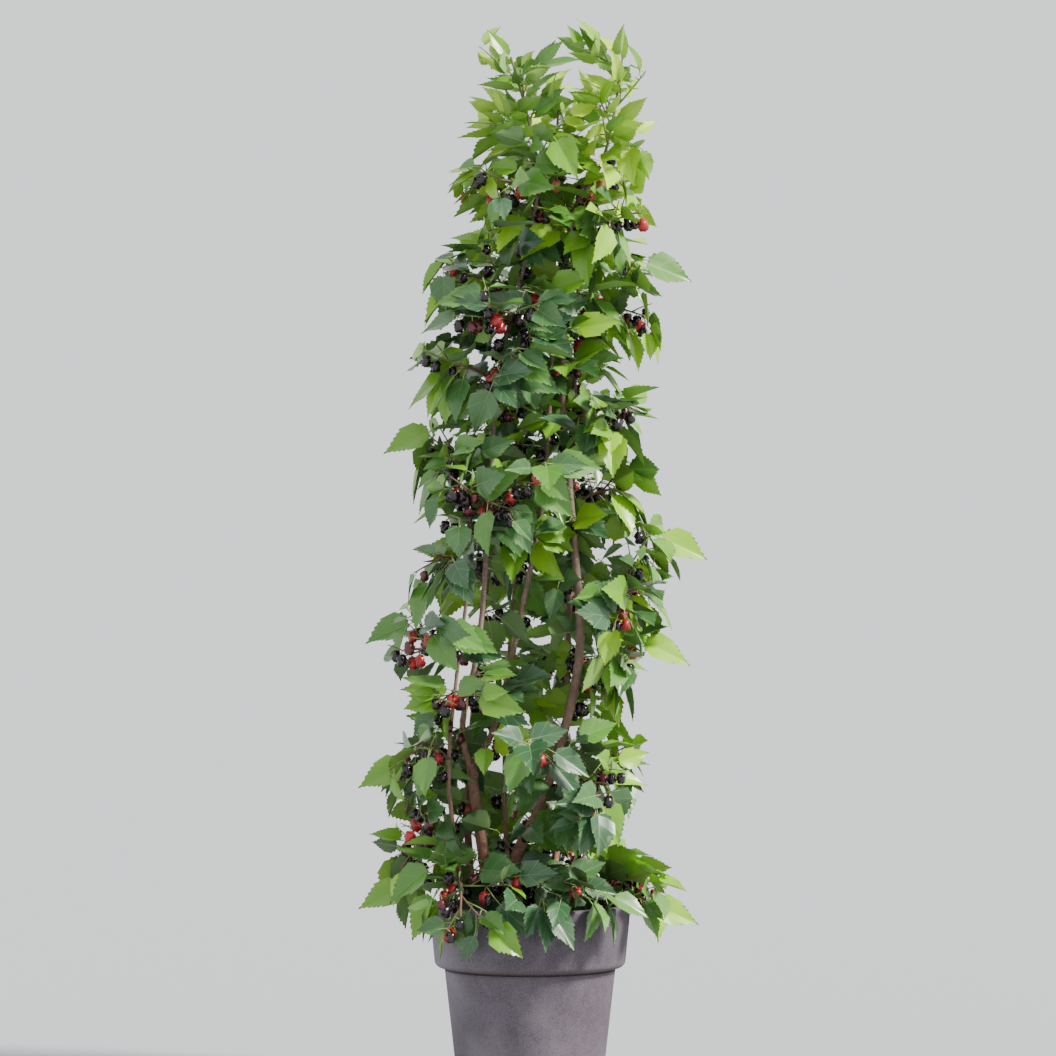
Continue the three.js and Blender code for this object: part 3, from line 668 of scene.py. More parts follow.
class Shoot:
    """A shoot is a bow from its limb: root, the point that it leans towards, and tip."""

    def __init__(self, name, steep, leaf_tip, bow):
        self.name, self.steep, self.leaf_tip = name, steep, leaf_tip
        self.curve = bow
        self.length = curve_length(bow)
        self.path = np.array([bow.place(i / SHOOT_RINGS) for i in range(SHOOT_RINGS + 1)])
        to_bend = bow.bend - bow.root
        self.site = bow.root + to_bend * min(1, SITE_STEP / np.linalg.norm(to_bend))
        self.beads, self.bead_radii = beads_along(self.path, lambda share: SHOOT_RADIUS)

    def rod_place(self, share):
        """The middle of the shoot's rod, which runs straight from ring to ring."""
        ring = min(SHOOT_RINGS - 1, int(share * SHOOT_RINGS))
        return self.path[ring] + (self.path[ring + 1] - self.path[ring]) * (share * SHOOT_RINGS - ring)


def side_bow(root, outward, arch):
    """The bow of a side shoot, from a place on its limb to the crown's outline."""
    reach, middle = crown_at(root[2])
    stand_out = (root - middle) @ outward
    length = max(SHOOT_SHORTEST, reach - stand_out - LEAF_REACH_SHARE * LEAF_LENGTH)
    bend = root + outward * 0.5 * length + UP * arch["bend"]
    tip = root + outward * length + UP * arch["tip"]
    return Bow(root, bend, tip)


def bow_is_clear(bow, own_limb, shoots):
    for step in range(1, ROUTE_STEPS + 1):
        place = bow.place(step / ROUTE_STEPS)
        for each in LIMBS:
            if each is own_limb:
                continue
            if np.any(distance_to_path(place, each.path) <= each.radii[:-1] + ROUTE_CLEARANCE):
                return False
        if any(distance_to_path(place, other.path).min() <= ROUTE_CLEARANCE for other in shoots):
            return False
    return True


def side_shoot(name, height, azimuth, arch, shoots):
    """The shoot of a side mass leaves the limb furthest out on that side that leaves its way clear."""
    outward = outward_at(azimuth)
    chosen, furthest = None, -math.inf
    for each in LIMBS:
        root = each.middle_at(height)
        if root is None or each.name == "trunk":
            continue
        bow = side_bow(root, outward, arch)
        if root @ outward > furthest and bow_is_clear(bow, each, shoots):
            chosen, furthest = Shoot(name, False, None, bow), root @ outward
    return chosen


def tip_shoot(name, limb_name, tip, leaf_tip):
    """The shoot of a tip mass goes straight on from the end of its limb, and bends to its own tip."""
    curve = limb_named(limb_name).curve
    along = tangent(curve, 1)
    root = curve.place(1) + along * GAP
    bow = Bow(root, root + along * TIP_SHOOT_BEND, point(*tip))
    return Shoot(name, True, leaf_tip and point(*leaf_tip), bow)


def all_shoots():
    """The shoots of all masses: first those at the limbs' tips, then those of the tiers from below."""
    shoots = [tip_shoot(*each) for each in TIP_SHOOTS]
    for tier, tier_name in enumerate(TIER_NAMES):
        height = LOWEST_TIER + tier * TIER_STEP
        diagonal = tier % 2
        arch = SIDE_ARCH if tier else SKIRT_ARCH
        sides = SIDES_DIAGONAL if diagonal else SIDES_SQUARE
        for i, side in enumerate(sides):
            azimuth = (i + diagonal / 2) * math.pi / 2
            root_height = height + SPIRAL_RISE * (i - (len(sides) - 1) / 2)
            shoots.append(side_shoot(f"{tier_name}_{side}_foliage", root_height, azimuth, arch, shoots))
    return shoots


SHOOTS = all_shoots()
SITES = np.array([shoot.site for shoot in SHOOTS])
LIMB_STRINGS = [beads_along(each.path, each.radius_at) for each in LIMBS]
LIMB_BEADS = np.concatenate([places for places, _ in LIMB_STRINGS])
LIMB_BEAD_RADII = np.concatenate([radii for _, radii in LIMB_STRINGS])


def inside_space(index, places, margin):
    """Whether places are nearer to a shoot's own site than to any other, by a margin."""
    others = np.delete(SITES, index, axis=0)
    between = others - SITES[index]
    between /= np.linalg.norm(between, axis=1)[:, None]
    middles = (SITES[index] + others) / 2
    return bool(np.all(places @ between.T - (middles * between).sum(1) < -margin))


def clear_of_pot(places):
    radius = np.hypot(places[:, 0], places[:, 1])
    height = places[:, 2]
    above_soil = height > SOIL_HEIGHT + POT_CLEARANCE
    in_cavity = above_soil & (radius < cavity_radius(height) - POT_CLEARANCE)
    above = height > POT_HEIGHT + POT_CLEARANCE
    return bool(np.all(above | in_cavity | (radius > pot_outer_radius(height) + POT_CLEARANCE)))


def inside_outline(places):
    reach, lean = crown_spread(places[:, 2])
    return bool(np.all(np.hypot(places[:, 0] - lean, places[:, 1]) < reach))


def off_beads(places, beads, radii, clearance):
    """Whether places keep a clearance from every bead."""
    gaps = np.linalg.norm(places[:, None] - beads[None], axis=2) - radii
    return bool(np.all(gaps > clearance))


class Twig:
    """A straight twig, with the beads that leaves keep clear of."""

    def __init__(self, root, tip, radius):
        self.root, self.tip = root, tip
        self.length = float(np.linalg.norm(tip - root))
        self.beads, self.bead_radii = beads_along(np.array([root, tip]), lambda share: radius)

    def place(self, share):
        return self.root + (self.tip - self.root) * share


def twig_at(draw, root, along, turn, shortening):
    """A twig leaves its shoot to one side, turned part of the way towards above or below."""
    yaw = within(draw, TWIG_YAW)
    lift = within(draw, TWIG_LIFT)
    length = max(TWIG_SHORTEST, TWIG_LENGTH * within(draw, TWIG_SIZE) * shortening)
    level = UP if abs(along[2]) < NEARLY_UPRIGHT else point(1, 0, 0)
    aside = turned_about(unit(np.cross(along, level)), along, turn + lift)
    return Twig(root, root + (along * math.cos(yaw) + aside * math.sin(yaw)) * length, TWIG_RADIUS)


def twig_fits(index, twig):
    clearance = TWIG_RADIUS + CLEARANCE
    others = [other for i, other in enumerate(SHOOTS) if i != index]
    return (
        inside_outline(twig.beads)
        and inside_space(index, twig.beads, SPACE_MARGIN + TWIG_RADIUS)
        and clear_of_pot(twig.beads)
        and off_beads(twig.beads, LIMB_BEADS, LIMB_BEAD_RADII, clearance)
        and all(off_beads(twig.beads, other.beads, other.bead_radii, clearance) for other in others)
    )


class Leaf:
    """A leaf grows from its root along d, n is the normal of its upper face, and w points to its side.

    Its places are shares of the way along it and of its half-width. Leaves keep apart by them.
    """

    PLACES = np.array([
        (0.34, 0), (0.34, 0.6), (0.34, -0.6), (0.54, 0), (0.54, 0.55), (0.54, -0.55), (0.54, 1), (0.54, -1),
        (0.77, 0), (0.77, 0.5), (0.77, -0.5), (1, 0),
    ])
    MIDDLE = 3
    SIDES = [3, 6, 7]
    LINES = 2 * len(SIDES)

    def __init__(self, root, length, direction, facing, roll):
        self.root, self.length = root, length
        self.d = unit(direction)
        self.n = turned_about(unit(facing - self.d * (facing @ self.d)), self.d, roll)
        w = np.cross(self.n, self.d)
        self.frame = np.stack([self.d, w, self.n])
        self.blade = self.places(self.PLACES[:, 0], self.PLACES[:, 1])
        self.centre = self.blade[self.MIDDLE]
        stalk = self.places(np.array([LEAF_STALK_SHARE]), np.array([0.0]))[0]
        ends = (stalk, self.blade[-1])
        sides = self.blade[self.SIDES]
        self.line_starts = np.array([end for end in ends for _ in sides])
        self.line_ends = np.concatenate([sides, sides])

    def places(self, along, aside):
        """Places on the leaf, by their share of the way along it and of its half-width."""
        lift = np.abs(aside) * LEAF_FOLD_SHARE - along * along * LEAF_DROOP_SHARE
        local = np.stack([along, aside * LEAF_WIDTH_SHARE / 2, lift], axis=1) * self.length
        return self.root + local @ self.frame


class Foliage:
    """The leaves and rods that have grown so far, in arrays that a new leaf is tested against."""

    def __init__(self):
        self.centres, self.roots, self.lengths = np.zeros((0, 3)), np.zeros((0, 3)), np.zeros(0)
        self.frames = np.zeros((0, 3, 3))
        self.blades = np.zeros((0, len(Leaf.PLACES), 3))
        self.line_starts, self.line_ends = np.zeros((0, Leaf.LINES, 3)), np.zeros((0, Leaf.LINES, 3))
        self.beads, self.bead_radii = LIMB_BEADS, LIMB_BEAD_RADII
        self.shown, self.shown_outward = np.zeros((0, 3)), np.zeros((0, 3))

    def add(self, leaf):
        self.centres = np.vstack([self.centres, leaf.centre])
        self.roots = np.vstack([self.roots, leaf.root])
        self.lengths = np.append(self.lengths, leaf.length)
        self.frames = np.concatenate([self.frames, leaf.frame[None]])
        self.blades = np.concatenate([self.blades, leaf.blade[None]])
        self.line_starts = np.concatenate([self.line_starts, leaf.line_starts[None]])
        self.line_ends = np.concatenate([self.line_ends, leaf.line_ends[None]])

    def add_beads(self, places, radii):
        self.beads = np.vstack([self.beads, places])
        self.bead_radii = np.concatenate([self.bead_radii, radii])

    def show(self, place, outward):
        """Keeps the way outward from a cluster of berries or from a stretch of stem free of leaves."""
        self.shown = np.vstack([self.shown, place])
        self.shown_outward = np.vstack([self.shown_outward, outward])

    def hides_shown(self, leaf):
        """Whether a leaf stands in the way of something that is kept in sight."""
        away = leaf.centre - self.shown
        outward = (away * self.shown_outward).sum(1)
        aside = away[:, 0] * self.shown_outward[:, 1] - away[:, 1] * self.shown_outward[:, 0]
        return np.any((outward > 0) & (np.abs(away[:, 2]) < SHOWN_HEIGHT) & (np.abs(aside) < SHOWN_WIDTH))

    def sort_beads(self):
        """Puts the beads in order of height, once no more rods or berries will grow."""
        order = np.argsort(self.beads[:, 2])
        self.beads, self.bead_radii = self.beads[order], self.bead_radii[order]
        self.bead_heights = self.beads[:, 2].copy()

    def has_room(self, leaf, spread):
        return not self.hides_shown(leaf) and self.off_rods(leaf) and self.off_leaves(leaf, spread)

    def off_rods(self, leaf):
        reach = NEAR_ROD_SHARE * leaf.length
        low, high = np.searchsorted(self.bead_heights, (leaf.centre[2] - reach, leaf.centre[2] + reach))
        beads, radii = self.beads[low:high], self.bead_radii[low:high]
        near = np.linalg.norm(beads - leaf.centre, axis=1) < reach
        places = beads[near][None]
        height, along, aside = over_leaves(leaf.root[None], leaf.frame[None], leaf.length, places)
        distance = radii[near] + LEAF_LIMB_CLEARANCE
        beside = aside < outline_at(along) + 2 * distance / leaf.length / LEAF_WIDTH_SHARE
        return not np.any(beside & (along > BARE_SHARE) & (along < 1) & (np.abs(height) < distance))

    def off_leaves(self, leaf, spread):
        apart = np.linalg.norm(self.centres - leaf.centre, axis=1)
        near = np.flatnonzero(apart < NEAR_LEAF_SHARE * (self.lengths + leaf.length))
        if not near.size:
            return True
        gaps = self.blades[near][:, :, None] - leaf.blade[None, None]
        if (gaps**2).sum(3).min() < spread**2:
            return False
        starts, ends = self.line_starts[near].reshape(1, -1, 3), self.line_ends[near].reshape(1, -1, 3)
        if pierced(leaf.root[None], leaf.frame[None], leaf.length, starts, ends):
            return False
        others = self.roots[near], self.frames[near], self.lengths[near][:, None]
        return not pierced(*others, leaf.line_starts[None], leaf.line_ends[None])


def over_leaves(roots, frames, lengths, places):
    """How far places lie over leaves' faces, and their shares of the way along and of the half-width."""
    local = np.einsum("nij,nkj->nki", frames, places - roots[:, None])
    along = local[..., 0] / lengths
    aside = 2 * np.abs(local[..., 1]) / (LEAF_WIDTH_SHARE * lengths)
    lift = np.minimum(1, aside) * LEAF_FOLD_SHARE - along * along * LEAF_DROOP_SHARE
    return local[..., 2] - lift * lengths, along, aside


def pierced(roots, frames, lengths, starts, ends):
    """Whether any of a few straight lines goes through a leaf, past its stalk."""
    start, end = (over_leaves(roots, frames, lengths, each)[0] for each in (starts, ends))
    crosses = start * end < 0
    if not crosses.any():
        return False
    share = np.where(crosses, start / np.where(crosses, start - end, 1), 0)[..., None]
    _, along, aside = over_leaves(roots, frames, lengths, starts + (ends - starts) * share)
    inside = (along > LEAF_STALK_SHARE) & (along < 1) & (aside < outline_at(along) + OUTLINE_MARGIN)
    return bool((crosses & inside).any())


def outline_at(along):
    """The half-width of a leaf's outline at a share of its length, as a share of the widest."""
    return np.maximum(0, np.minimum(along / LEAF_WIDEST, (1 - along) / (1 - LEAF_WIDEST)))


def leaf_at(draw, root, outward, side, young):
    """How a leaf hangs: outward, to one side and down, but up where the shoot's tip is young."""
    yaw = side * within(draw, LEAF_YAW)
    pitch = within(draw, YOUNG_LEAF_PITCH if young else LEAF_PITCH)
    length = LEAF_LENGTH * within(draw, YOUNG_LEAF_SIZE if young else LEAF_SIZE)
    roll = within(draw, LEAF_ROLL)
    flat = turned_about(outward, UP, yaw)
    direction = flat * math.cos(pitch) + UP * math.sin(pitch)
    return Leaf(root, length, direction, UP + outward * LEAF_FACING, roll)


def by_openness(height, pair):
    """A value that goes from the open lower crown's to the dense upper crown's."""
    return float(np.interp(height, OPEN_HEIGHTS, pair))


class Mass:
    """One mass of foliage: its shoot, the twigs of the solids, finer twigs on those, and leaves."""

    def __init__(self, index, shoot, foliage):
        self.index, self.shoot, self.foliage = index, shoot, foliage
        self.count = 0
        self.leaves = []
        self.fine_twigs = []
        self.nodes = max(LEAST_NODES, math.floor(shoot.length / SHOOT_NODE_STEP + 0.5))
        self.twigs = self.source_twigs()
        self.long_tips()
        foliage.add_beads(shoot.beads, shoot.bead_radii)
        for twig in self.twigs:
            foliage.add_beads(twig.beads, twig.bead_radii)

    def draw(self):
        """A new run of numbers for each thing that grows on this mass."""
        self.count += 1
        return seeded_random(SEED + self.index * MASS_SEED_STEP + FINE_SEED + self.count)

    def height_of(self, leaf):
        """The height by which a leaf is dealt to a piece: that of the mass's site."""
        return self.shoot.site[2]

    def node_share(self, node):
        return (node - SHOOT_NODE_START) / self.nodes

    def outward_from(self, place, node):
        if self.shoot.steep:
            return outward_at(node * GOLDEN_TURN + self.index)
        return levelled(place - crown_at(place[2])[1])

    def source_twigs(self):
        """The twigs of the solids, from the same seeds, tries and tests."""
        twigs = []
        for node in range(1, self.nodes):
            draw = seeded_random(SEED + self.index * MASS_SEED_STEP + node - 1)
            along = tangent(self.shoot.curve, self.node_share(node))
            root = self.shoot.rod_place(self.node_share(node) + NODE_SPREAD / self.shoot.length)
            turn = (node * STEEP_TURN if self.shoot.steep else 0) + (math.pi if node % 2 else 0)
            for attempt in range(TWIG_TRIES):
                twig = twig_at(draw, root, along, turn, 1 - attempt / TWIG_TRIES)
                if twig_fits(self.index, twig):
                    twigs.append(twig)
                    break
        return twigs

    def long_tips(self):
        """A long twig runs out to each far tip in this mass's space, and a leader ends in its leaf."""
        for tip in LONG_TIPS:
            end = point(*tip)
            if not inside_space(self.index, end[None], SPACE_MARGIN):
                continue
            outward = levelled(end - crown_at(end[2])[1])
            probe = Leaf(end, LEAF_LENGTH, outward - UP * LONG_TIP_DIP, UP, 0)
            root = end - probe.d * LEAF_LENGTH + probe.n * LEAF_DROOP_SHARE * LEAF_LENGTH
            twig = Twig(self.shoot.rod_place(LONG_TIP_SHARE), root, TWIG_RADIUS)
            self.twigs.append(twig)
            shown = point(0, -1 if end[1] < LONG_TIP_BACK else 1, 0)
            self.keep(Leaf(root, LEAF_LENGTH, probe.d, UP + shown * LONG_TIP_FACING, 0))
        if self.shoot.leaf_tip is not None:
            root = self.shoot.rod_place(END_SHARE)
            direction = self.shoot.leaf_tip - root
            facing = UP + outward_at(self.index) * LEADER_LEAF_FACING
            first = Leaf(root, np.linalg.norm(direction), direction, facing, 0)
            raised = first.d + first.n * LEAF_DROOP_SHARE
            self.keep(Leaf(root, first.length, raised, facing, 0))

    def keep(self, leaf):
        self.leaves.append(leaf)
        self.foliage.add(leaf)

    def grow_fine_twigs(self):
        """Finer twigs leave each twig on either side in turn."""
        for number, twig in enumerate(self.twigs):
            along = unit(twig.tip - twig.root)
            for node in range(1, int(twig.length / FINE_TWIG_STEP) + 1):
                draw = self.draw()
                root = twig.place((node - FINE_TWIG_START) * FINE_TWIG_STEP / twig.length)
                turn = (math.pi if (node + number) % 2 else 0) + FINE_TWIG_TURN
                for attempt in range(TWIG_TRIES):
                    coarse = twig_at(draw, root, along, turn, 1 - attempt / TWIG_TRIES)
                    fine = Twig(root, root + (coarse.tip - root) * FINE_TWIG_SIZE, FINE_TWIG_RADIUS)
                    if self.fine_twig_fits(fine):
                        self.fine_twigs.append(fine)
                        self.foliage.add_beads(fine.beads, fine.bead_radii)
                        break

    def fine_twig_fits(self, fine):
        outer = fine.beads[FINE_TWIG_ROOT_BEADS:]
        rods = self.foliage.beads, self.foliage.bead_radii
        return (
            fine.length > FINE_TWIG_SHORTEST
            and off_beads(outer, *rods, FINE_TWIG_RADIUS + CLEARANCE)
            and inside_outline(outer)
            and clear_of_pot(outer)
        )

    def grow_leaf(self, root, outward, side):
        """Tries to place a leaf, first on one side and then on the other."""
        draw = self.draw()
        young = root[2] > YOUNG_HEIGHT
        spread = by_openness(root[2], LEAF_SPREAD)
        for attempt in range(LEAF_TRIES):
            turned = side if attempt < LEAF_TRIES / 2 else -side
            leaf = leaf_at(draw, root, outward, turned, young)
            fits = inside_outline(leaf.blade) and clear_of_pot(leaf.blade)
            if fits and self.foliage.has_room(leaf, spread):
                self.keep(leaf)
                return

    def grow_leaves(self):
        """Leaves stand on either side in turn along the shoot and every twig, and one at each twig's end."""
        node_step = by_openness(self.shoot.site[2], FINE_NODE_STEP)
        steps = max(LEAST_NODES, round(self.shoot.length / node_step))
        for node in range(1, steps + 1):
            root = self.shoot.rod_place((node - SHOOT_NODE_START) / steps)
            self.grow_leaf(root, self.outward_from(root, node), 1 if node % 2 else -1)
        for number, twig in enumerate(self.twigs + self.fine_twigs):
            steps = max(1, round(twig.length / node_step))
            for step in range(1, steps + 1):
                root = twig.place((step - TWIG_LEAF_START) / steps)
                side = 1 if (step + number) % 2 else -1
                self.grow_leaf(root, self.outward_from(root, number + step), side)
            self.grow_leaf(twig.place(END_SHARE), levelled(twig.tip - twig.root), END_LEAF_SIDE)


class Berry:
    """A berry hangs on a short stalk from a twig."""

    def __init__(self, root, stalk, turn, size, ripeness):
        self.root, self.turn, self.size, self.ripeness = root, turn, size, ripeness
        self.top = root + stalk
        self.body = np.array([self.top - UP * share * BERRY_LENGTH * size for share in BERRY_BODY_SHARES])


class Spurs(Mass):
    """The short fruiting twigs that stand on a limb itself, with their leaves."""

    def __init__(self, index, limb, foliage):
        self.index, self.foliage = index, foliage
        self.count = 0
        self.leaves = []
        self.twigs = []
        self.fine_twigs = []
        length = curve_length(limb.curve)
        for number, tip in enumerate(RIM_SPRIGS.get(limb.name, [])):
            root = limb.middle_at(RIM_SPRIG_HEIGHT + RIM_SPRIG_STEP * number)
            self.add_rod(Twig(root, point(*tip), FINE_TWIG_RADIUS), RIM_SPRIG_ROOT_BEADS)
        for node in range(1, int(length / SPUR_STEP)):
            share = node * SPUR_STEP / length
            root = limb.curve.place(share)
            open_here = SPUR_OPEN[0] < root[2] < SPUR_OPEN[1] and node % SPUR_OPEN_KEPT
            if root[2] < POT_HEIGHT or open_here:
                continue
            self.add_spur(root, tangent(limb.curve, share), node, limb.radius_at(share))

    def height_of(self, leaf):
        """The height by which a leaf is dealt to a piece: its own."""
        return leaf.centre[2]

    def add_rod(self, rod, root_beads):
        """Keeps a twig. Its first beads lie in its limb, so they are left out."""
        self.fine_twigs.append(rod)
        self.foliage.add_beads(rod.beads[root_beads:], rod.bead_radii[root_beads:])

    def add_spur(self, root, along, node, girth):
        """Tries the sides of a limb in turn for a place where a spur stands free."""
        draw = self.draw()
        for attempt in range(SPUR_TRIES):
            outward = outward_at(node * GOLDEN_TURN + self.index + attempt * math.tau / SPUR_TRIES)
            aside = unit(outward - along * (outward @ along))
            direction = unit(aside + along * within(draw, SPUR_LIFT))
            reach = girth + within(draw, SPUR_LENGTH) * (1 - attempt / SPUR_TRIES / 2)
            spur = Twig(root, root + direction * reach, FINE_TWIG_RADIUS)
            outer = spur.beads[np.linalg.norm(spur.beads - root, axis=1) > girth + SPUR_FREE_FROM]
            rods = self.foliage.beads, self.foliage.bead_radii
            free = len(outer) and off_beads(outer, *rods, FINE_TWIG_RADIUS + SPUR_CLEARANCE)
            if free and inside_outline(outer):
                self.add_rod(spur, SPUR_ROOT_BEADS)
                return

    def grow_leaves(self):
        """Leaves stand on either side in turn along every spur and sprig, and one at its end."""
        for number, twig in enumerate(self.fine_twigs):
            outward = levelled(twig.tip - twig.root)
            steps = max(1, round(twig.length / by_openness(twig.root[2], FINE_NODE_STEP)))
            for step in range(1, steps + 1):
                root = twig.place((step - SPUR_LEAF_START) / steps)
                self.grow_leaf(root, outward, 1 if (step + number) % 2 else -1)
            self.grow_leaf(twig.place(END_SHARE), outward, END_LEAF_SIDE)


def berries_on(mass):
    """Berries hang in small clusters from the twigs, clear of what has grown so far."""
    berries = []
    foliage = mass.foliage
    for twig in mass.twigs + mass.fine_twigs:
        for share in BERRY_SHARES:
            draw = mass.draw()
            root = twig.place(share)
            reach, middle = crown_at(root[2])
            far_out = math.hypot(root[0] - middle[0], root[1]) > BERRY_REACH * reach
            if draw() > BERRY_CHANCE or far_out or root[2] > BERRY_HIGHEST:
                continue
            ripeness = draw()
            if draw() < SHOWN_CLUSTERS:
                foliage.show(root - UP * BERRY_LENGTH, levelled(root - middle))
            for number in range(BERRY_CLUSTER):
                swing = BERRY_TURN * number + LOOSE_TURN * draw()
                aside = point(math.cos(swing), math.sin(swing), 0) * within(draw, BERRY_HANG)
                stalk = aside - UP * within(draw, BERRY_HANG)
                turn, size = LOOSE_TURN * draw(), within(draw, BERRY_SIZE)
                berry = Berry(root, stalk, turn, size, ripeness + RIPENESS_SPREAD * (draw() - 0.5))
                room = BERRY_RADIUS * size * BERRY_NEARNESS
                free = off_beads(berry.body, foliage.beads, foliage.bead_radii, room)
                if free and clear_of_pot(berry.body) and inside_outline(berry.body):
                    berries.append(berry)
                    foliage.add_beads(berry.body, np.full(len(berry.body), BERRY_RADIUS * size))
    return berries


@functools.lru_cache(maxsize=1)
def grown_plant():
    """Every mass of foliage with its twigs, leaves and berries, grown once."""
    foliage = Foliage()
    masses = [Mass(index, shoot, foliage) for index, shoot in enumerate(SHOOTS)]
    for mass in masses:
        mass.grow_fine_twigs()
    masses += [Spurs(len(SHOOTS) + number, limb, foliage) for number, limb in enumerate(LIMBS)]
    for mass in masses:
        mass.berries = berries_on(mass)
    for limb in LIMBS:
        for low, high in SHOWN_LIMBS.get(limb.name, []):
            for height in range(low, high, SHOWN_LIMB_STEP):
                foliage.show(limb.middle_at(height), point(*FRONT))
    foliage.sort_beads()
    for mass in masses:
        mass.grow_leaves()
    return masses


def placed(name, data):
    """A new object in the scene."""
    holder = bpy.data.objects.new(name, data)
    bpy.context.scene.collection.objects.link(holder)
    return holder


def new_piece(name, mesh, materials, slot, *nodes):
    """Puts a mesh in the scene as a piece that rides on the plant, and stands for the nodes given."""
    for each in materials:
        mesh.materials.append(each)
    piece = placed(name, mesh)
    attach(piece, BODY)
    if nodes:
        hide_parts(*nodes)


def mesh_from(name, bm, smooth=True):
    for face in bm.faces:
        face.smooth = smooth
    mesh = bpy.data.meshes.new(name)
    bm.to_mesh(mesh)
    bm.free()
    return mesh


def read(collection, key, kind, width=1):
    """A property of all the items of a mesh, as an array."""
    values = np.empty(len(collection) * width, dtype=kind)
    collection.foreach_get(key, values)
    return values.reshape(-1, width) if width > 1 else values


class Template:
    """A small shape as arrays, ready to be placed many times in one mesh."""

    def __init__(self, name, bm):
        mesh = mesh_from(name, bm)
        self.places = read(mesh.vertices, "co", np.float32, 3)
        self.edges = read(mesh.edges, "vertices", np.int32, 2)
        self.sharp = read(mesh.edges, "use_edge_sharp", bool)
        self.corners = read(mesh.loops, "vertex_index", np.int32)
        self.corner_edges = read(mesh.loops, "edge_index", np.int32)
        self.starts = read(mesh.polygons, "loop_start", np.int32)
        self.kinds = read(mesh.polygons, "material_index", np.int32)
        bpy.data.meshes.remove(mesh)


def joined(name, stamps):
    """One mesh of many stamps: a template, its places in metres and the material slots of its face kinds."""
    vertices, edges, corners, starts = 0, 0, 0, 0
    parts = {key: [] for key in ("co", "edges", "sharp", "corners", "corner_edges", "starts", "slots")}
    for template, places, slots in stamps:
        parts["co"].append(places)
        parts["edges"].append(template.edges + vertices)
        parts["sharp"].append(template.sharp)
        parts["corners"].append(template.corners + vertices)
        parts["corner_edges"].append(template.corner_edges + edges)
        parts["starts"].append(template.starts + corners)
        parts["slots"].append(np.asarray(slots, dtype=np.int32)[template.kinds])
        vertices += len(template.places)
        edges += len(template.edges)
        corners += len(template.corners)
        starts += len(template.starts)
    whole = {key: np.concatenate(value) for key, value in parts.items()}
    mesh = bpy.data.meshes.new(name)
    mesh.vertices.add(vertices)
    mesh.edges.add(edges)
    mesh.loops.add(corners)
    mesh.polygons.add(starts)
    mesh.vertices.foreach_set("co", whole["co"].astype(np.float32).ravel())
    mesh.edges.foreach_set("vertices", whole["edges"].ravel())
    mesh.loops.foreach_set("vertex_index", whole["corners"])
    mesh.loops.foreach_set("edge_index", whole["corner_edges"])
    mesh.polygons.foreach_set("loop_start", whole["starts"])
    mesh.polygons.foreach_set("material_index", whole["slots"])
    mesh.polygons.foreach_set("use_smooth", np.ones(starts, dtype=bool))
    mesh.edges.foreach_set("use_edge_sharp", whole["sharp"])
    mesh.update()
    return mesh


def edge_steps(row):
    """How many steps a blade's edge has in a row: two to each tooth."""
    return EDGE_STEPS_AT_STALK if row < 1 else EDGE_STEPS


def blade_corner(column, row):
    """Where a corner of a flat blade lies: columns 0 and 5 are its edges, 2 and 3 the sides of its midrib."""
    side = -1 if column < LEAF_COLUMNS / 2 else 1
    rib = float(np.interp(row, BLADE_ROWS, RIB_AT_ROWS))
    from_rib = round(abs(column - LEAF_COLUMNS / 2) - 0.5)
    if from_rib == 0:
        return rib, side * RIB_HALF_WIDTH * (1 - rib)
    share = float(np.interp(row, BLADE_ROWS, EDGE_AT_ROWS))
    x, y, _ = BLADE_OUTLINE.place(share)
    if from_rib == 1:
        return rib + (x - rib) * MID_COLUMN_SHARE, side * y * MID_COLUMN_SHARE
    along_x, along_y, _ = tangent(BLADE_OUTLINE, share, EDGE_TANGENT_STEP)
    tooth = 0
    if TOOTHLESS_ROOT <= row <= LEAF_ROWS - TOOTHLESS_TIP:
        size = TOOTH_BY_WIDTH[0] + TOOTH_BY_WIDTH[1] * y
        tooth = TOOTH_DEPTH * math.cos(edge_steps(row) * math.pi * row) * size
    x += tooth * (TOOTH_SWEEP * along_x - along_y)
    y += tooth * (TOOTH_SWEEP * along_y + along_x)
    return x, side * max(0, y)


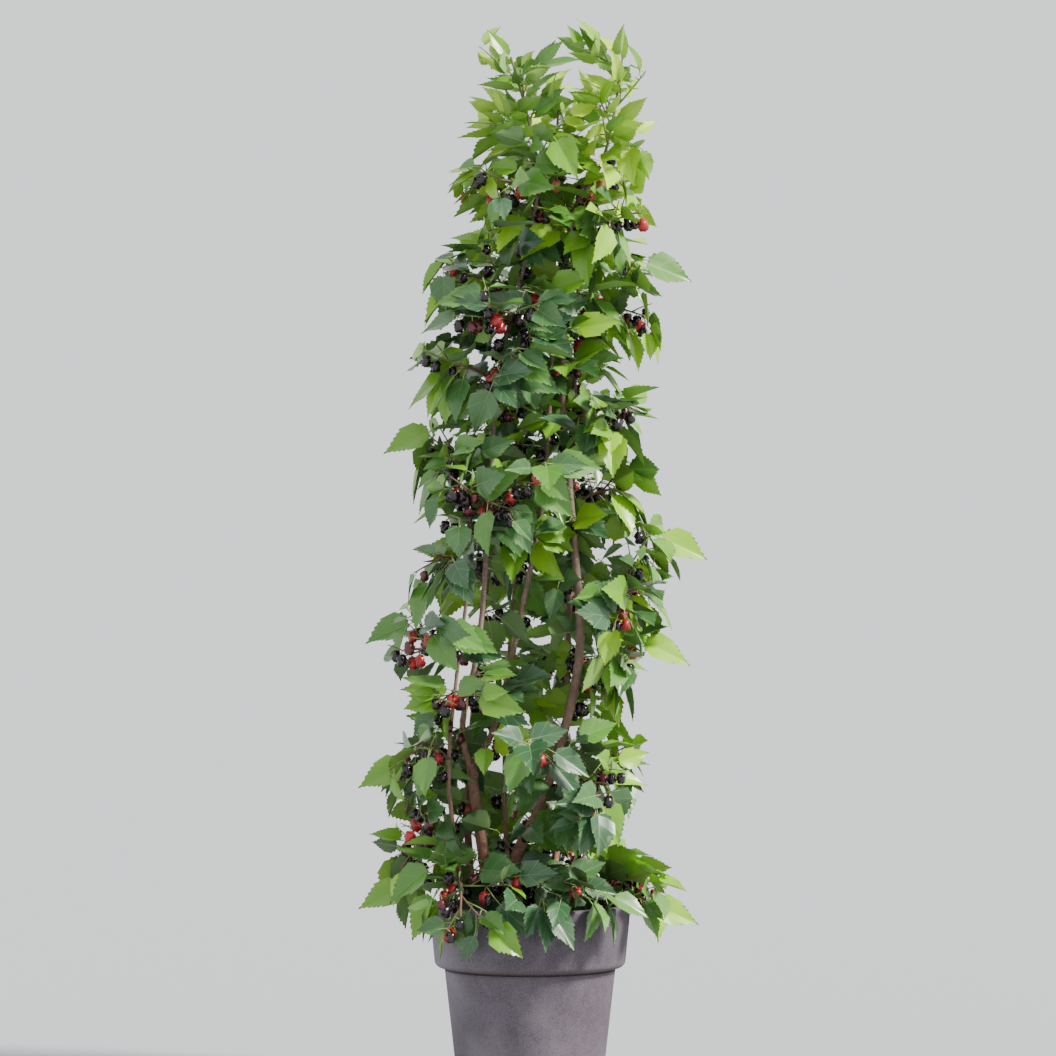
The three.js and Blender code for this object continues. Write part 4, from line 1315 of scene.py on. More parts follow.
def leaf_template(number):
    """One cut of leaf: a folded, drooping and toothed blade with pale veins, closed below, on its stalk.

    It is one unit long from the stalk's root to the tip, and grows along +X with its upper face to +Z.
    """
    draw = seeded_random(SEED + LEAF_CUT_SEED + number)
    bends = (BLADE_FOLD, BLADE_DROOP, BLADE_BREADTH, BLADE_WAVE)
    fold, droop, width, wave = (within(draw, each) for each in bends)
    width *= YOUNG_LEAF_WIDTH if number >= LEAF_CUTS else 1
    phase = LOOSE_TURN * draw()
    twist, sweep = BLADE_TWIST * (draw() - 0.5), BLADE_SWEEP * (draw() - 0.5)
    bm = bmesh.new()
    spread = Matrix.Diagonal((LEAF_COLUMNS, LEAF_ROWS, 1, 1))
    middle = Matrix.Translation((LEAF_COLUMNS / 2, LEAF_ROWS / 2, 0))
    bmesh.ops.create_grid(
        bm, x_segments=LEAF_COLUMNS, y_segments=LEAF_ROWS, size=0.5, matrix=middle @ spread
    )
    for face in bm.faces:
        column, row, _ = face.calc_center_median()
        face.material_index = VEIN if int(row) % 2 or int(column) == LEAF_COLUMNS // 2 else UPPER
    for row in range(0, LEAF_ROWS, 2):
        edges = [
            edge for edge in bm.edges
            if edge.is_boundary and all(row <= vert.co.y <= row + 1 for vert in edge.verts)
            and edge.verts[0].co.x == edge.verts[1].co.x
        ]
        bmesh.ops.bisect_edges(bm, edges=edges, cuts=edge_steps(row) - 1)
    under = bmesh.ops.duplicate(bm, geom=bm.verts[:] + bm.edges[:] + bm.faces[:])["geom"]
    faces = [each for each in under if isinstance(each, bmesh.types.BMFace)]
    bmesh.ops.reverse_faces(bm, faces=faces)
    for face in faces:
        rib = int(face.calc_center_median().x) == LEAF_COLUMNS // 2
        face.material_index = STALK if rib else UNDER
    inner = [each for each in under if isinstance(each, bmesh.types.BMVert) and not each.is_boundary]
    bmesh.ops.translate(bm, verts=inner, vec=(0, 0, -1))
    across = [
        each for each in under
        if isinstance(each, bmesh.types.BMEdge) and not each.is_boundary
        and all(vert.co.y % 2 == 1 for vert in each.verts) and each.verts[0].co.y == each.verts[1].co.y
    ]
    bmesh.ops.dissolve_edges(bm, edges=across, use_verts=False)
    bmesh.ops.remove_doubles(bm, verts=bm.verts[:], dist=FLAT_JOIN)
    for vert in bm.verts:
        below = BLADE_THICKNESS / LEAF_LENGTH if vert.co.z < -0.5 else 0
        x, y = blade_corner(vert.co.x, vert.co.y)
        x, y = STALK_SHARE + (1 - STALK_SHARE) * x, (1 - STALK_SHARE) * y * width
        aside = 2 * y / LEAF_WIDTH_SHARE
        lift = fold * (BLADE_CROWN[0] * abs(aside) - BLADE_CROWN[1] * aside * aside) - x * x * droop
        lift += wave * aside * aside * math.sin(phase + WAVES_ALONG * x)
        vert.co = (x, y + sweep * x * x, lift + twist * y * x - below)
    bmesh.ops.remove_doubles(bm, verts=bm.verts[:], dist=JOIN)
    for edge in bm.edges:
        kinds = {face.material_index in (UPPER, VEIN) for face in edge.link_faces}
        edge.smooth = len(kinds) == 1
    length = STALK_SHARE + STALK_OVERLAP
    level = Matrix.Translation((length / 2, 0, -droop * STALK_SHARE**2 / 2))
    stalk = bmesh.ops.create_cone(
        bm, cap_ends=True, segments=STALK_SIDES, radius1=STALK_ROOT_SHARE, radius2=STALK_TIP_SHARE,
        depth=length, matrix=level @ Matrix.Rotation(math.radians(90), 4, "Y"),
    )
    for face in {face for vert in stalk["verts"] for face in vert.link_faces}:
        face.material_index = STALK
    return Template(f"leaf cut {number}", bm)


def berry_template():
    """A berry of many small beads, one unit long, hanging from its top at the origin."""
    bm = bmesh.new()
    slim = Matrix.Diagonal((BERRY_WIDTH_SHARE, BERRY_WIDTH_SHARE, 1, 1))
    bmesh.ops.create_uvsphere(bm, u_segments=BERRY_SIDES, v_segments=BERRY_RINGS, radius=0.5)
    for vert in bm.verts:
        ring = round((0.5 + math.asin(max(-1, min(1, 2 * vert.co.z))) / math.pi) * BERRY_RINGS)
        if 0 < ring < BERRY_RINGS:
            side = round((math.atan2(vert.co.y, vert.co.x) / math.tau) * BERRY_SIDES)
            vert.co *= 1 + BERRY_BEADS * (1 if (ring + side) % 2 else -1)
    bmesh.ops.transform(bm, matrix=Matrix.Translation((0, 0, -0.5)) @ slim, verts=bm.verts[:])
    bmesh.ops.recalc_face_normals(bm, faces=bm.faces[:])
    return Template("berry", bm)


def rod(sides, rings):
    """A round rod with closed ends: X and Y run round it, Z is the share of the way along, and so is V."""
    bm = bmesh.new()
    layer = bm.loops.layers.uv.new("UVMap")
    middle = Matrix.Translation((0.5, 0.5, 0))
    bmesh.ops.create_grid(bm, x_segments=sides, y_segments=rings, size=0.5, matrix=middle)
    for face in bm.faces:
        for loop in face.loops:
            loop[layer].uv = loop.vert.co.xy
    for vert in bm.verts:
        turn = vert.co.x * math.tau
        vert.co = (math.cos(turn), math.sin(turn), vert.co.y)
    bmesh.ops.remove_doubles(bm, verts=bm.verts[:], dist=JOIN)
    bmesh.ops.holes_fill(bm, edges=[edge for edge in bm.edges if edge.is_boundary], sides=0)
    bmesh.ops.recalc_face_normals(bm, faces=bm.faces[:])
    return bm


def laid_along(local, curve, radii):
    """Places of a rod's corners when it is laid along a curve. Corners of one ring share one way along."""
    shares, ring = np.unique(np.round(local[:, 2], RING_DIGITS), return_inverse=True)
    ring = ring.ravel()
    centres = np.array([curve.place(share) for share in shares])
    alongs = np.array([tangent(curve, share) for share in shares])
    sideways = np.array([0.0, 1.0, 0.0])
    firsts = sideways - alongs * (alongs @ sideways)[:, None]
    firsts /= np.linalg.norm(firsts, axis=1)[:, None]
    seconds = np.cross(alongs, firsts)
    outward = local[:, :1] * firsts[ring] + local[:, 1:2] * seconds[ring]
    return centres[ring] + radii[:, None] * outward


class Line:
    """A straight way from one place to another, with a slight bend."""

    def __init__(self, root, tip, bend):
        self.root, self.tip, self.bend = root, tip, bend

    def place(self, share):
        return self.root + (self.tip - self.root) * share + self.bend * math.sin(math.pi * share)


def ring_edges(bm, radius, height):
    """The edges of a turned body that run round it at a radius and height."""
    def on_ring(vert):
        off_radius, off_height = math.hypot(vert.co.x, vert.co.y) - radius, vert.co.z - height
        return abs(off_radius) < RING_TOLERANCE and abs(off_height) < RING_TOLERANCE

    return [edge for edge in bm.edges if on_ring(edge.verts[0]) and on_ring(edge.verts[1])]


def turned(profile, segments):
    """A body turned about +Z from a profile of (radius, height) pairs, from pole to pole."""
    bm = bmesh.new()
    verts = [bm.verts.new((radius, 0, height)) for radius, height in profile]
    edges = [bm.edges.new(pair) for pair in zip(verts, verts[1:])]
    bmesh.ops.spin(
        bm, geom=verts + edges, cent=(0, 0, 0), axis=(0, 0, 1), angle=math.tau, steps=segments,
        use_merge=True,
    )
    bmesh.ops.remove_doubles(bm, verts=bm.verts[:], dist=FLAT_JOIN)
    bmesh.ops.recalc_face_normals(bm, faces=bm.faces[:])
    return bm


def to_metres(bm):
    bmesh.ops.scale(bm, vec=(MM, MM, MM), verts=bm.verts[:])


def cut_away(mesh, tool):
    """A mesh with another mesh's body cut out of it."""
    holders = [placed(each.name, each) for each in (mesh, tool)]
    modifier = holders[0].modifiers.new("cut", "BOOLEAN")
    modifier.operation, modifier.solver, modifier.object = "DIFFERENCE", "EXACT", holders[1]
    graph = bpy.context.evaluated_depsgraph_get()
    cut = bpy.data.meshes.new_from_object(holders[0].evaluated_get(graph))
    for holder in holders:
        bpy.data.objects.remove(holder)
    return cut


def pot_mesh(groove):
    """The pot's wall with its rounded edges and the groove under its rim, pierced by the drain holes."""
    rim_foot = POT_HEIGHT - RIM_DEPTH
    lip_inside = RIM_RADIUS - RIM_THICKNESS
    floor_edge = (cavity_radius(FLOOR), FLOOR)
    bm = turned([
        (0, 0),
        (BASE_RADIUS, 0),
        (BODY_TOP_RADIUS, rim_foot - GROOVE_DEPTH),
        (BODY_TOP_RADIUS - groove, rim_foot - GROOVE_DEPTH / 2),
        (BODY_TOP_RADIUS, rim_foot),
        (RIM_FOOT_RADIUS, rim_foot),
        (RIM_RADIUS, POT_HEIGHT),
        (lip_inside, POT_HEIGHT),
        floor_edge,
        (0, FLOOR),
    ], POT_SIDES)
    rounds = [
        (BASE_RADIUS, 0, BASE_ROUND),
        (RIM_FOOT_RADIUS, rim_foot, RIM_FOOT_ROUND),
        (RIM_RADIUS, POT_HEIGHT, LIP_ROUND),
        (lip_inside, POT_HEIGHT, LIP_ROUND),
        (*floor_edge, INNER_ROUND),
    ]
    for radius, height, offset in rounds:
        bmesh.ops.bevel(
            bm, geom=ring_edges(bm, radius, height), offset=offset, offset_type="OFFSET", affect="EDGES",
            segments=ROUND_STEPS, profile=0.5, material=-1, clamp_overlap=True,
        )
    holes = bmesh.new()
    for number in range(DRAIN_HOLES):
        turn = number * math.tau / DRAIN_HOLES
        place = (DRAIN_CIRCLE_RADIUS * math.cos(turn), DRAIN_CIRCLE_RADIUS * math.sin(turn), FLOOR / 2)
        bmesh.ops.create_cone(
            holes, cap_ends=True, segments=DRAIN_SIDES, radius1=DRAIN_RADIUS, radius2=DRAIN_RADIUS,
            depth=3 * FLOOR, matrix=Matrix.Translation(place),
        )
    to_metres(bm)
    to_metres(holes)
    mesh = cut_away(mesh_from("clay pot", bm), mesh_from("drain holes", holes))
    mesh.name = "clay pot"
    mesh.set_sharp_from_angle(angle=math.radians(SHARP_ANGLE))
    return mesh


def soil_mesh():
    """Soil that fills the pot to its level, uneven on top."""
    edge = cavity_radius(SOIL_HEIGHT) - 2 * GAP
    top = [(edge * number / SOIL_RINGS, SOIL_HEIGHT) for number in range(SOIL_RINGS + 1)]
    foot = FLOOR + GAP
    bm = turned([*top, (cavity_radius(foot) - 2 * GAP, foot), (0, foot)], SOIL_SIDES)
    for vert in bm.verts:
        if vert.co.z > SOIL_HEIGHT - 1:
            place = vert.co / METRE
            uneven = sum(height * noise.noise(place * scale) for height, scale in SOIL_HEAPS)
            vert.co.z += uneven - SOIL_SUNK
    to_metres(bm)
    return mesh_from("potting soil", bm)


def crumb_mesh(count):
    """Crumbs and bark chips strewn on the soil."""
    crumb = bmesh.new()
    bmesh.ops.create_icosphere(crumb, subdivisions=1, radius=1)
    for vert in crumb.verts:
        vert.co *= 1 + CRUMB_LUMPS[0] * noise.noise(vert.co * CRUMB_LUMPS[1])
    chip = bmesh.new()
    bmesh.ops.create_cube(chip, size=2)
    bmesh.ops.bevel(
        chip, geom=chip.edges[:], offset=CHIP_ROUND, affect="EDGES", segments=1, profile=0.5, material=-1,
        clamp_overlap=True,
    )
    crumb, chip = Template("crumb", crumb), Template("chip", chip)
    draw = seeded_random(SEED + CRUMB_SEED)
    widest = cavity_radius(SOIL_HEIGHT) - CRUMB_MARGIN
    stamps = []
    for number in range(count):
        turn, reach = math.tau * draw(), widest * math.sqrt(draw())
        flat = number % CHIP_EVERY == 0
        size = [within(draw, each) for each in CHIP_SIZES] if flat else [within(draw, CRUMB_SIZE)] * 3
        yaw = Matrix.Rotation(LOOSE_TURN * draw(), 3, "Z")
        tilt = yaw @ Matrix.Rotation((draw() - 0.5) * CHIP_TILT, 3, "X")
        height = SOIL_HEIGHT + CRUMB_RAISED * size[2]
        place = point(reach * math.cos(turn), reach * math.sin(turn), height)
        template = chip if flat else crumb
        places = place + (template.places * np.array(size)) @ np.array(tilt).T
        stamps.append((template, places * MM, [1 if flat or draw() > CHIP_COLOURED_FROM else 0]))
    return joined("soil crumbs", stamps)


def bark_mesh(limb, number, relief):
    """A limb with its bark: swollen nodes and scars, uneven girth, and furrows near the ground."""
    length = curve_length(limb.curve)
    sides = THICK_LIMB_SIDES if limb.radius > THICK_LIMB else THIN_LIMB_SIDES
    mesh = mesh_from(limb.name, rod(sides, math.ceil(length / BARK_RING_STEP)))
    local = read(mesh.vertices, "co", np.float32, 3).astype(float)
    shares = local[:, 2]
    heights = np.interp(shares, np.linspace(0, 1, len(limb.path)), limb.path[:, 2])
    taper = limb.radius + (limb.tip_radius - limb.radius) * shares
    taper += limb.flare * np.exp(-shares * LIMB_RINGS)
    draw = seeded_random(SEED + BARK_SEED + number)
    swell, girth = np.zeros(len(local)), np.empty(len(local))
    knot, knot_length = within(draw, KNOT_FIRST), KNOT_LENGTH[0] + KNOT_LENGTH[1] * limb.radius
    while knot < length - KNOT_LAST:
        turn, size = math.tau * draw(), within(draw, KNOT_SIZE)
        towards = local[:, 0] * math.cos(turn) + local[:, 1] * math.sin(turn)
        facing = KNOT_ROUND[0] + KNOT_ROUND[1] * towards
        swell += size * facing * np.exp(-(((shares * length - knot) / knot_length) ** 2))
        knot += within(draw, KNOT_STEP)
    around, onward = GIRTH_SPOT
    furrow_around, furrow_onward = FURROW_SPOT
    for index, (x, y, share) in enumerate(local):
        spot = Vector((x * around, y * around, share * length / onward + LIMB_SHIFT * number))
        uneven = noise.noise(spot)
        furrow = noise.noise(Vector((x * furrow_around, y * furrow_around, share * length / furrow_onward)))
        low = max(0, 1 - (heights[index] - GROUND) / FURROWED_HEIGHT)
        girth[index] = GIRTH_DEPTH * uneven + (FURROW_DEPTH[0] + FURROW_DEPTH[1] * low) * furrow
    radii = taper * (1 + relief * (swell + girth))
    if limb.name == "trunk":
        radii *= np.sqrt(np.clip((TRUNK_END - shares) * length / TRUNK_DOME, TRUNK_LEAST, 1))
    places = laid_along(local, limb.curve, radii)
    mesh.vertices.foreach_set("co", (places * MM).astype(np.float32).ravel())
    uv = read(mesh.uv_layers[0].uv, "vector", np.float32, 2)
    uv *= np.array([math.tau * limb.radius, length]) / UV_UNIT
    mesh.uv_layers[0].uv.foreach_set("vector", uv.ravel())
    mesh.update()
    return mesh


def twig_stamp(template, curve, radius, tip_radius, tint):
    """A stamp of a rod that is laid along a curve and tapers to its tip."""
    local = template.places.astype(float)
    radii = radius + (tip_radius - radius) * local[:, 2]
    return template, laid_along(local, curve, radii) * MM, [tint]


def twig_mesh(plant):
    """Shoots, twigs and finer twigs in one mesh: brown below and within, green towards the tips."""
    thick, thin, fine = (Template("rod", rod(sides, rings)) for sides, rings in ROD_SHAPES)
    stamps = []
    for mass in plant:
        draw = seeded_random(SEED + TWIG_TINT_SEED + mass.index)
        young = False
        if not isinstance(mass, Spurs):
            young = mass.shoot.site[2] > YOUNG_SHOOT_HEIGHT
            tint = OLIVE if young else BROWN
            stamps.append(twig_stamp(thick, mass.shoot.curve, SHOOT_RADIUS, SHOOT_TIP_RADIUS, tint))
        for twig in mass.twigs:
            bend = turned_about(UP, unit(twig.tip - twig.root), LOOSE_TURN * draw()) * TWIG_BEND
            green = young or draw() < GREEN_TWIGS
            tint = GREEN if green else OLIVE if draw() < OLIVE_TWIGS else BROWN
            stamps.append(twig_stamp(thin, Line(twig.root, twig.tip, bend), *TWIG_SHOWN_RADII, tint))
        for twig in mass.fine_twigs:
            line = Line(twig.root, twig.tip, UP * FINE_TWIG_BEND)
            tint = GREEN if draw() < GREEN_FINE_TWIGS else OLIVE
            stamps.append(twig_stamp(fine, line, FINE_TWIG_RADIUS, FINE_TWIG_TIP_RADIUS, tint))
    return joined("twigs", stamps)


def leaf_materials(tints, stalk):
    """An upper face, veins and an underside for each tint, then the stalk that all share."""
    materials = []
    for number, tint in enumerate(tints):
        for face, of_leaf, of_vein, roughness, gloss in LEAF_FACES:
            colour = np.array(tint) * of_leaf + np.array(VEIN_COLOUR) * of_vein
            name = f"Leaf {number} {face}"
            materials.append(plain(name, tuple(colour), roughness, Specular_IOR_Level=gloss))
    materials.append(plain("Leaf stalk", stalk, STALK_ROUGHNESS))
    return materials


def leaf_tint(leaf, spray, draw):
    """Painted light pales leaves at the top, back, sides and right; the top is also young, and spray and leaf
    vary them.
    """
    x, y, z = leaf.centre
    reach, middle = crown_at(z)
    aside = (x - middle[0]) / reach
    top = max(0.0, min(1.0, (z - PALE_FROM) / PALE_OVER))
    edge = max(0, min(EDGE_TO, abs(aside)) - EDGE_FROM)
    # Painted light: top, back, edge and right stand for sunlight and backlight; spray and leaf are real
    # variety
    score = PALER["all"] + PALER["top"] * top + PALER["back"] * y / reach
    score += PALER["edge"] * edge + PALER["right"] * aside
    score += PALER["spray"] * (spray - 0.5) + PALER["leaf"] * (draw() - 0.5)
    palest = LEAF_TINTS - 1 if top > 0 else LEAF_TINTS - 2
    return int(max(0, min(palest, math.floor(score * LEAF_TINTS))))


def leaf_mesh(name, plant, low, high, cuts):
    """The leaves between two heights in one mesh. All leaves draw, so that each keeps its cut and tint."""
    stamps = []
    for mass in plant:
        draw = seeded_random(SEED + LEAF_TINT_SEED + mass.index)
        spray = draw()
        for number, leaf in enumerate(mass.leaves):
            if number % SPRAY_LEAVES == 0:
                spray = draw()
            tint = leaf_tint(leaf, spray, draw)
            young = leaf.centre[2] > YOUNG_HEIGHT
            template = cuts[LEAF_CUTS + int(draw() * YOUNG_LEAF_CUTS) if young else int(draw() * LEAF_CUTS)]
            if not low <= mass.height_of(leaf) < high:
                continue
            faces = len(LEAF_FACES)
            slots = [*range(faces * tint, faces * (tint + 1)), faces * LEAF_TINTS]
            places = leaf.root + (template.places * leaf.length) @ leaf.frame
            stamps.append((template, places * MM, slots))
    return joined(name, stamps)


def berry_mesh(plant):
    """All berries in one mesh, each with its stalk from the twig."""
    berry = berry_template()
    stalk = Template("rod", rod(*BERRY_STALK_SHAPE))
    stamps = []
    for mass in plant:
        for each in mass.berries:
            skin = sum(each.ripeness < step for step in RIPENESS_STEPS)
            size = BERRY_LENGTH * each.size
            turn = np.array(Matrix.Rotation(each.turn, 3, "Z"))
            places = each.top + (berry.places * size) @ turn.T
            stamps.append((berry, places * MM, [skin]))
            line = Line(each.root, each.top - UP * BERRY_STALK_SHORT, UP)
            stamps.append(twig_stamp(stalk, line, BERRY_STALK_RADIUS, BERRY_STALK_RADIUS, BERRY_STALK_SLOT))
    return joined("berries", stamps)


def floor_mesh():
    """A wide level floor."""
    bm = bmesh.new()
    bmesh.ops.create_grid(bm, x_segments=4, y_segments=4, size=FLOOR_REACH)
    return mesh_from("studio floor", bm, smooth=False)


class Graph:
    """Adds nodes to a material or a group. A node is fed by plain values or by other nodes' sockets."""

    def __init__(self, tree):
        self.tree = tree

    def add(self, kind, feeds=None, **settings):
        node = self.tree.nodes.new(kind)
        for key, value in settings.items():
            setattr(node, key, value)
        self.feed(node, feeds or {})
        return node

    def feed(self, node, feeds):
        """Gives a node's sockets plain values, or links them to other nodes' sockets."""
        for key, value in feeds.items():
            if isinstance(value, bpy.types.NodeSocket):
                self.tree.links.new(value, node.inputs[key])
            else:
                node.inputs[key].default_value = value

    def noise(self, vector, scale, detail=4, roughness=0.55):
        feeds = {"Vector": vector, "Scale": scale, "Detail": detail, "Roughness": roughness}
        return self.add("ShaderNodeTexNoise", feeds).outputs["Fac"]

    def stretch(self, value, low, high, to_low=0.0, to_high=1.0):
        feeds = {"Value": value, "From Min": low, "From Max": high, "To Min": to_low, "To Max": to_high}
        return self.add("ShaderNodeMapRange", feeds).outputs["Result"]

    def reckon(self, operation, first, second):
        return self.add("ShaderNodeMath", {0: first, 1: second}, operation=operation).outputs[0]

    def times(self, first, second):
        return self.reckon("MULTIPLY", first, second)

    def plus(self, first, second):
        return self.reckon("ADD", first, second)

    def blend(self, share, first, second):
        """Goes from one colour to another. A colour is a socket, or three numbers."""
        feeds = {0: share}
        for key, colour in zip(MIX_COLOURS, (first, second)):
            feeds[key] = colour if isinstance(colour, bpy.types.NodeSocket) else (*colour, 1)
        return self.add("ShaderNodeMix", feeds, data_type="RGBA").outputs[MIX_RESULT]

    def stretched(self, vector, scale):
        return self.add("ShaderNodeMapping", {"Vector": vector, "Scale": scale}).outputs[0]

    def mottle(self, vector, scale, fine_scale):
        feeds = {"Vector": vector, "Scale": scale, "Fine Scale": fine_scale}
        return self.add("ShaderNodeGroup", feeds, node_tree=mottle_group()).outputs["Mask"]

    def specks(self, vector, scale, size, share):
        feeds = {"Vector": vector, "Scale": scale, "Size": size, "Share": share}
        return self.add("ShaderNodeGroup", feeds, node_tree=specks_group()).outputs["Mask"]

    def bump(self, height, strength, distance):
        feeds = {"Height": height, "Strength": strength, "Distance": distance}
        return self.add("ShaderNodeBump", feeds).outputs["Normal"]


def new_group(name, inputs):
    """A shader node group with named inputs and a mask as its output, and its own Graph."""
    tree = bpy.data.node_groups.new(name, "ShaderNodeTree")
    tree.interface.new_socket("Vector", in_out="INPUT", socket_type="NodeSocketVector")
    for key, value in inputs.items():
        socket = tree.interface.new_socket(key, in_out="INPUT", socket_type="NodeSocketFloat")
        socket.default_value = value
    tree.interface.new_socket("Mask", in_out="OUTPUT", socket_type="NodeSocketFloat")
    graph = Graph(tree)
    return graph, graph.add("NodeGroupInput").outputs


@functools.lru_cache(maxsize=1)
def mottle_group():
    """Large soft blotches crossed with finer ones."""
    graph, given = new_group("Mottle", {"Scale": 10, "Fine Scale": 60})
    large = graph.stretch(graph.noise(given["Vector"], given["Scale"]), 0.35, 0.68)
    fine = graph.stretch(graph.noise(given["Vector"], given["Fine Scale"], 6, 0.65), 0.3, 0.7)
    graph.add("NodeGroupOutput", {"Mask": graph.plus(graph.times(large, 0.62), graph.times(fine, 0.38))})
    return graph.tree


@functools.lru_cache(maxsize=1)
def specks_group():
    """Small scattered specks, of which only a share of the cells bear one."""
    graph, given = new_group("Specks", {"Scale": 100, "Size": 0.25, "Share": 0.3})
    cells = graph.add("ShaderNodeTexVoronoi", {"Vector": given["Vector"], "Scale": given["Scale"]})
    chance = graph.add("ShaderNodeSeparateColor", {0: cells.outputs["Color"]}).outputs[0]
    chosen = graph.reckon("LESS_THAN", chance, given["Share"])
    spot = graph.stretch(cells.outputs["Distance"], given["Size"], graph.times(given["Size"], 0.5))
    graph.add("NodeGroupOutput", {"Mask": graph.times(spot, chosen)})
    return graph.tree


def new_material(name, roughness, **constants):
    """A material with its Graph and its surface, whose sockets take the constants."""
    material = bpy.data.materials.new(name)
    material.use_nodes = True
    surface = material.node_tree.nodes["Principled BSDF"]
    surface.inputs["Roughness"].default_value = roughness
    for key, value in constants.items():
        surface.inputs[key.replace("_", " ")].default_value = value
    return material, Graph(material.node_tree), surface


def plain(name, colour, roughness, **constants):
    """A material of one colour, for leaves, twigs, berries and crumbs, which are dealt out among several."""
    material, _, surface = new_material(name, roughness, **constants)
    surface.inputs["Base Color"].default_value = (*colour, 1)
    return material


def clay_material(look):
    """Unglazed clay: mottled, finely speckled, paler where lime has bloomed on one side, and darkened under
    the rim by painted shade.
    """
    material, graph, surface = new_material("Weathered clay", 0.9, Specular_IOR_Level=0.3)
    place = graph.add("ShaderNodeTexCoord").outputs["Object"]
    split = graph.add("ShaderNodeSeparateXYZ", {0: place}).outputs
    drift = graph.noise(place, 5.0, detail=5)
    dark = graph.specks(place, 260.0, size=0.34, share=0.3)
    pale = graph.specks(place, 230.0, size=0.26, share=0.16)
    grains = graph.noise(graph.stretched(place, (1.0, 1.0, 0.8)), 420.0, roughness=0.8)
    bloom_side = graph.plus(graph.times(split[0], -1.6), drift)
    # Painted shade: the clay darkens within a few millimetres of the rim's foot, as the shadow under the
    # rim's overhang
    from_rim_foot = graph.reckon("SUBTRACT", split[2], (POT_HEIGHT - RIM_DEPTH) * MM)
    painted_rim_shade = graph.plus(graph.reckon("ABSOLUTE", from_rim_foot, 0.0), graph.times(drift, 0.012))
    colour = graph.blend(graph.mottle(place, 9.0, 70.0), look.shade, look.clay)
    layers = [
        (graph.stretch(bloom_side, 0.46, 0.92, to_high=0.75), look.bloom),
        (graph.times(dark, 0.5), look.speck),
        (graph.stretch(grains, 0.5, 0.66, to_high=0.38), look.shade),
        (graph.stretch(grains, 0.5, 0.36, to_high=0.22), look.bloom),
        (graph.stretch(painted_rim_shade, 0.016, 0.004, to_high=0.7), look.painted_rim_shade),
        (graph.times(pale, 0.25), look.bloom),
    ]
    for share, layer in layers:
        colour = graph.blend(share, colour, layer)
    relief = graph.plus(graph.noise(place, 420.0, detail=6, roughness=0.7), graph.times(dark, -0.8))
    graph.feed(surface, {
        "Base Color": colour,
        "Roughness": graph.stretch(graph.noise(place, 40.0), 0.3, 0.7, to_low=0.82, to_high=0.96),
        "Normal": graph.bump(relief, strength=0.35, distance=0.0012),
    })
    return material


def bark_material(look):
    """Smooth young bark: red-brown near the ground, greyer above, with pale pores drawn out sideways."""
    material, graph, surface = new_material("Mulberry bark", 0.72, Specular_IOR_Level=0.35)
    coordinates = graph.add("ShaderNodeTexCoord").outputs
    place, along = coordinates["Object"], coordinates["UV"]
    height = graph.add("ShaderNodeSeparateXYZ", {0: place}).outputs[2]
    rise = graph.stretch(graph.plus(height, graph.noise(place, 6.0)), 0.85, 1.45)
    clean = graph.blend(rise, look.low, look.high)
    mottle = graph.stretch(graph.mottle(place, 26.0, 140.0), 0.2, 0.8)
    pores = graph.specks(graph.stretched(along, (5.0, 22.0, 1.0)), 1.0, size=0.3, share=0.45)
    streaks = graph.noise(graph.stretched(along, (14.0, 2.6, 1.0)), 1.6, detail=5, roughness=0.6)
    near_ground = graph.stretch(height, 0.36, 0.95, to_low=0.75, to_high=0.15)
    crack = graph.times(graph.reckon("SUBTRACT", 1.0, graph.stretch(streaks, 0.36, 0.48)), near_ground)
    colour = graph.blend(mottle, graph.blend(0.5, clean, look.dark), clean)
    colour = graph.blend(graph.times(pores, 0.7), colour, look.pore)
    raised = graph.plus(graph.times(pores, 0.8), graph.times(crack, -1.0))
    relief = graph.plus(raised, graph.times(graph.noise(place, 260.0, detail=5), 0.5))
    graph.feed(surface, {
        "Base Color": graph.blend(crack, colour, look.dark),
        "Normal": graph.bump(relief, strength=0.5, distance=0.0012),
    })
    return material


def soil_material(name, dark, light):
    """Damp crumbs of compost."""
    material, graph, surface = new_material(name, 0.95, Specular_IOR_Level=0.2)
    place = graph.add("ShaderNodeTexCoord").outputs["Object"]
    graph.feed(surface, {
        "Base Color": graph.blend(graph.mottle(place, 30.0, 220.0), dark, light),
        "Normal": graph.bump(graph.noise(place, 300.0, detail=6), strength=0.7, distance=0.003),
    })
    return material


def colour_property(name, description, default):
    return bpy.props.FloatVectorProperty(
        name=name, description=description, subtype="COLOR", default=default, min=0, max=1
    )


def length_property(name, description, default):
    return bpy.props.FloatProperty(name=name, description=description, default=default, min=0, unit="LENGTH")


class PotSettings(bpy.types.PropertyGroup):
    clay: colour_property("Clay", "Colour of the dry clay", (0.118, 0.098, 0.118))
    shade: colour_property("Shade", "Colour of the darker blotches", (0.062, 0.050, 0.063))
    bloom: colour_property("Bloom", "Colour of the lime that blooms on the clay", (0.27, 0.245, 0.28))
    speck: colour_property("Speck", "Colour of the dark specks", (0.045, 0.036, 0.036))
    # Painted shade: the colour of the shadow painted under the overhang of the rim
    painted_rim_shade: colour_property("Painted_rim_shade", "Colour of the dirt that gathers under the rim", (0.060, 0.040, 0.030))
    groove: length_property("Groove", "Depth of the groove under the rim", 0.003)


class SoilSettings(bpy.types.PropertyGroup):
    dark: colour_property("Dark", "Colour of the wet crumbs", (0.018, 0.010, 0.007))
    light: colour_property("Light", "Colour of the dry crumbs", (0.075, 0.042, 0.027))
    chip: colour_property("Chip", "Colour of the bark chips", (0.16, 0.085, 0.045))
    crumbs: bpy.props.IntProperty(
        name="Crumbs", description="How many crumbs and chips lie on top", default=900, min=1
    )


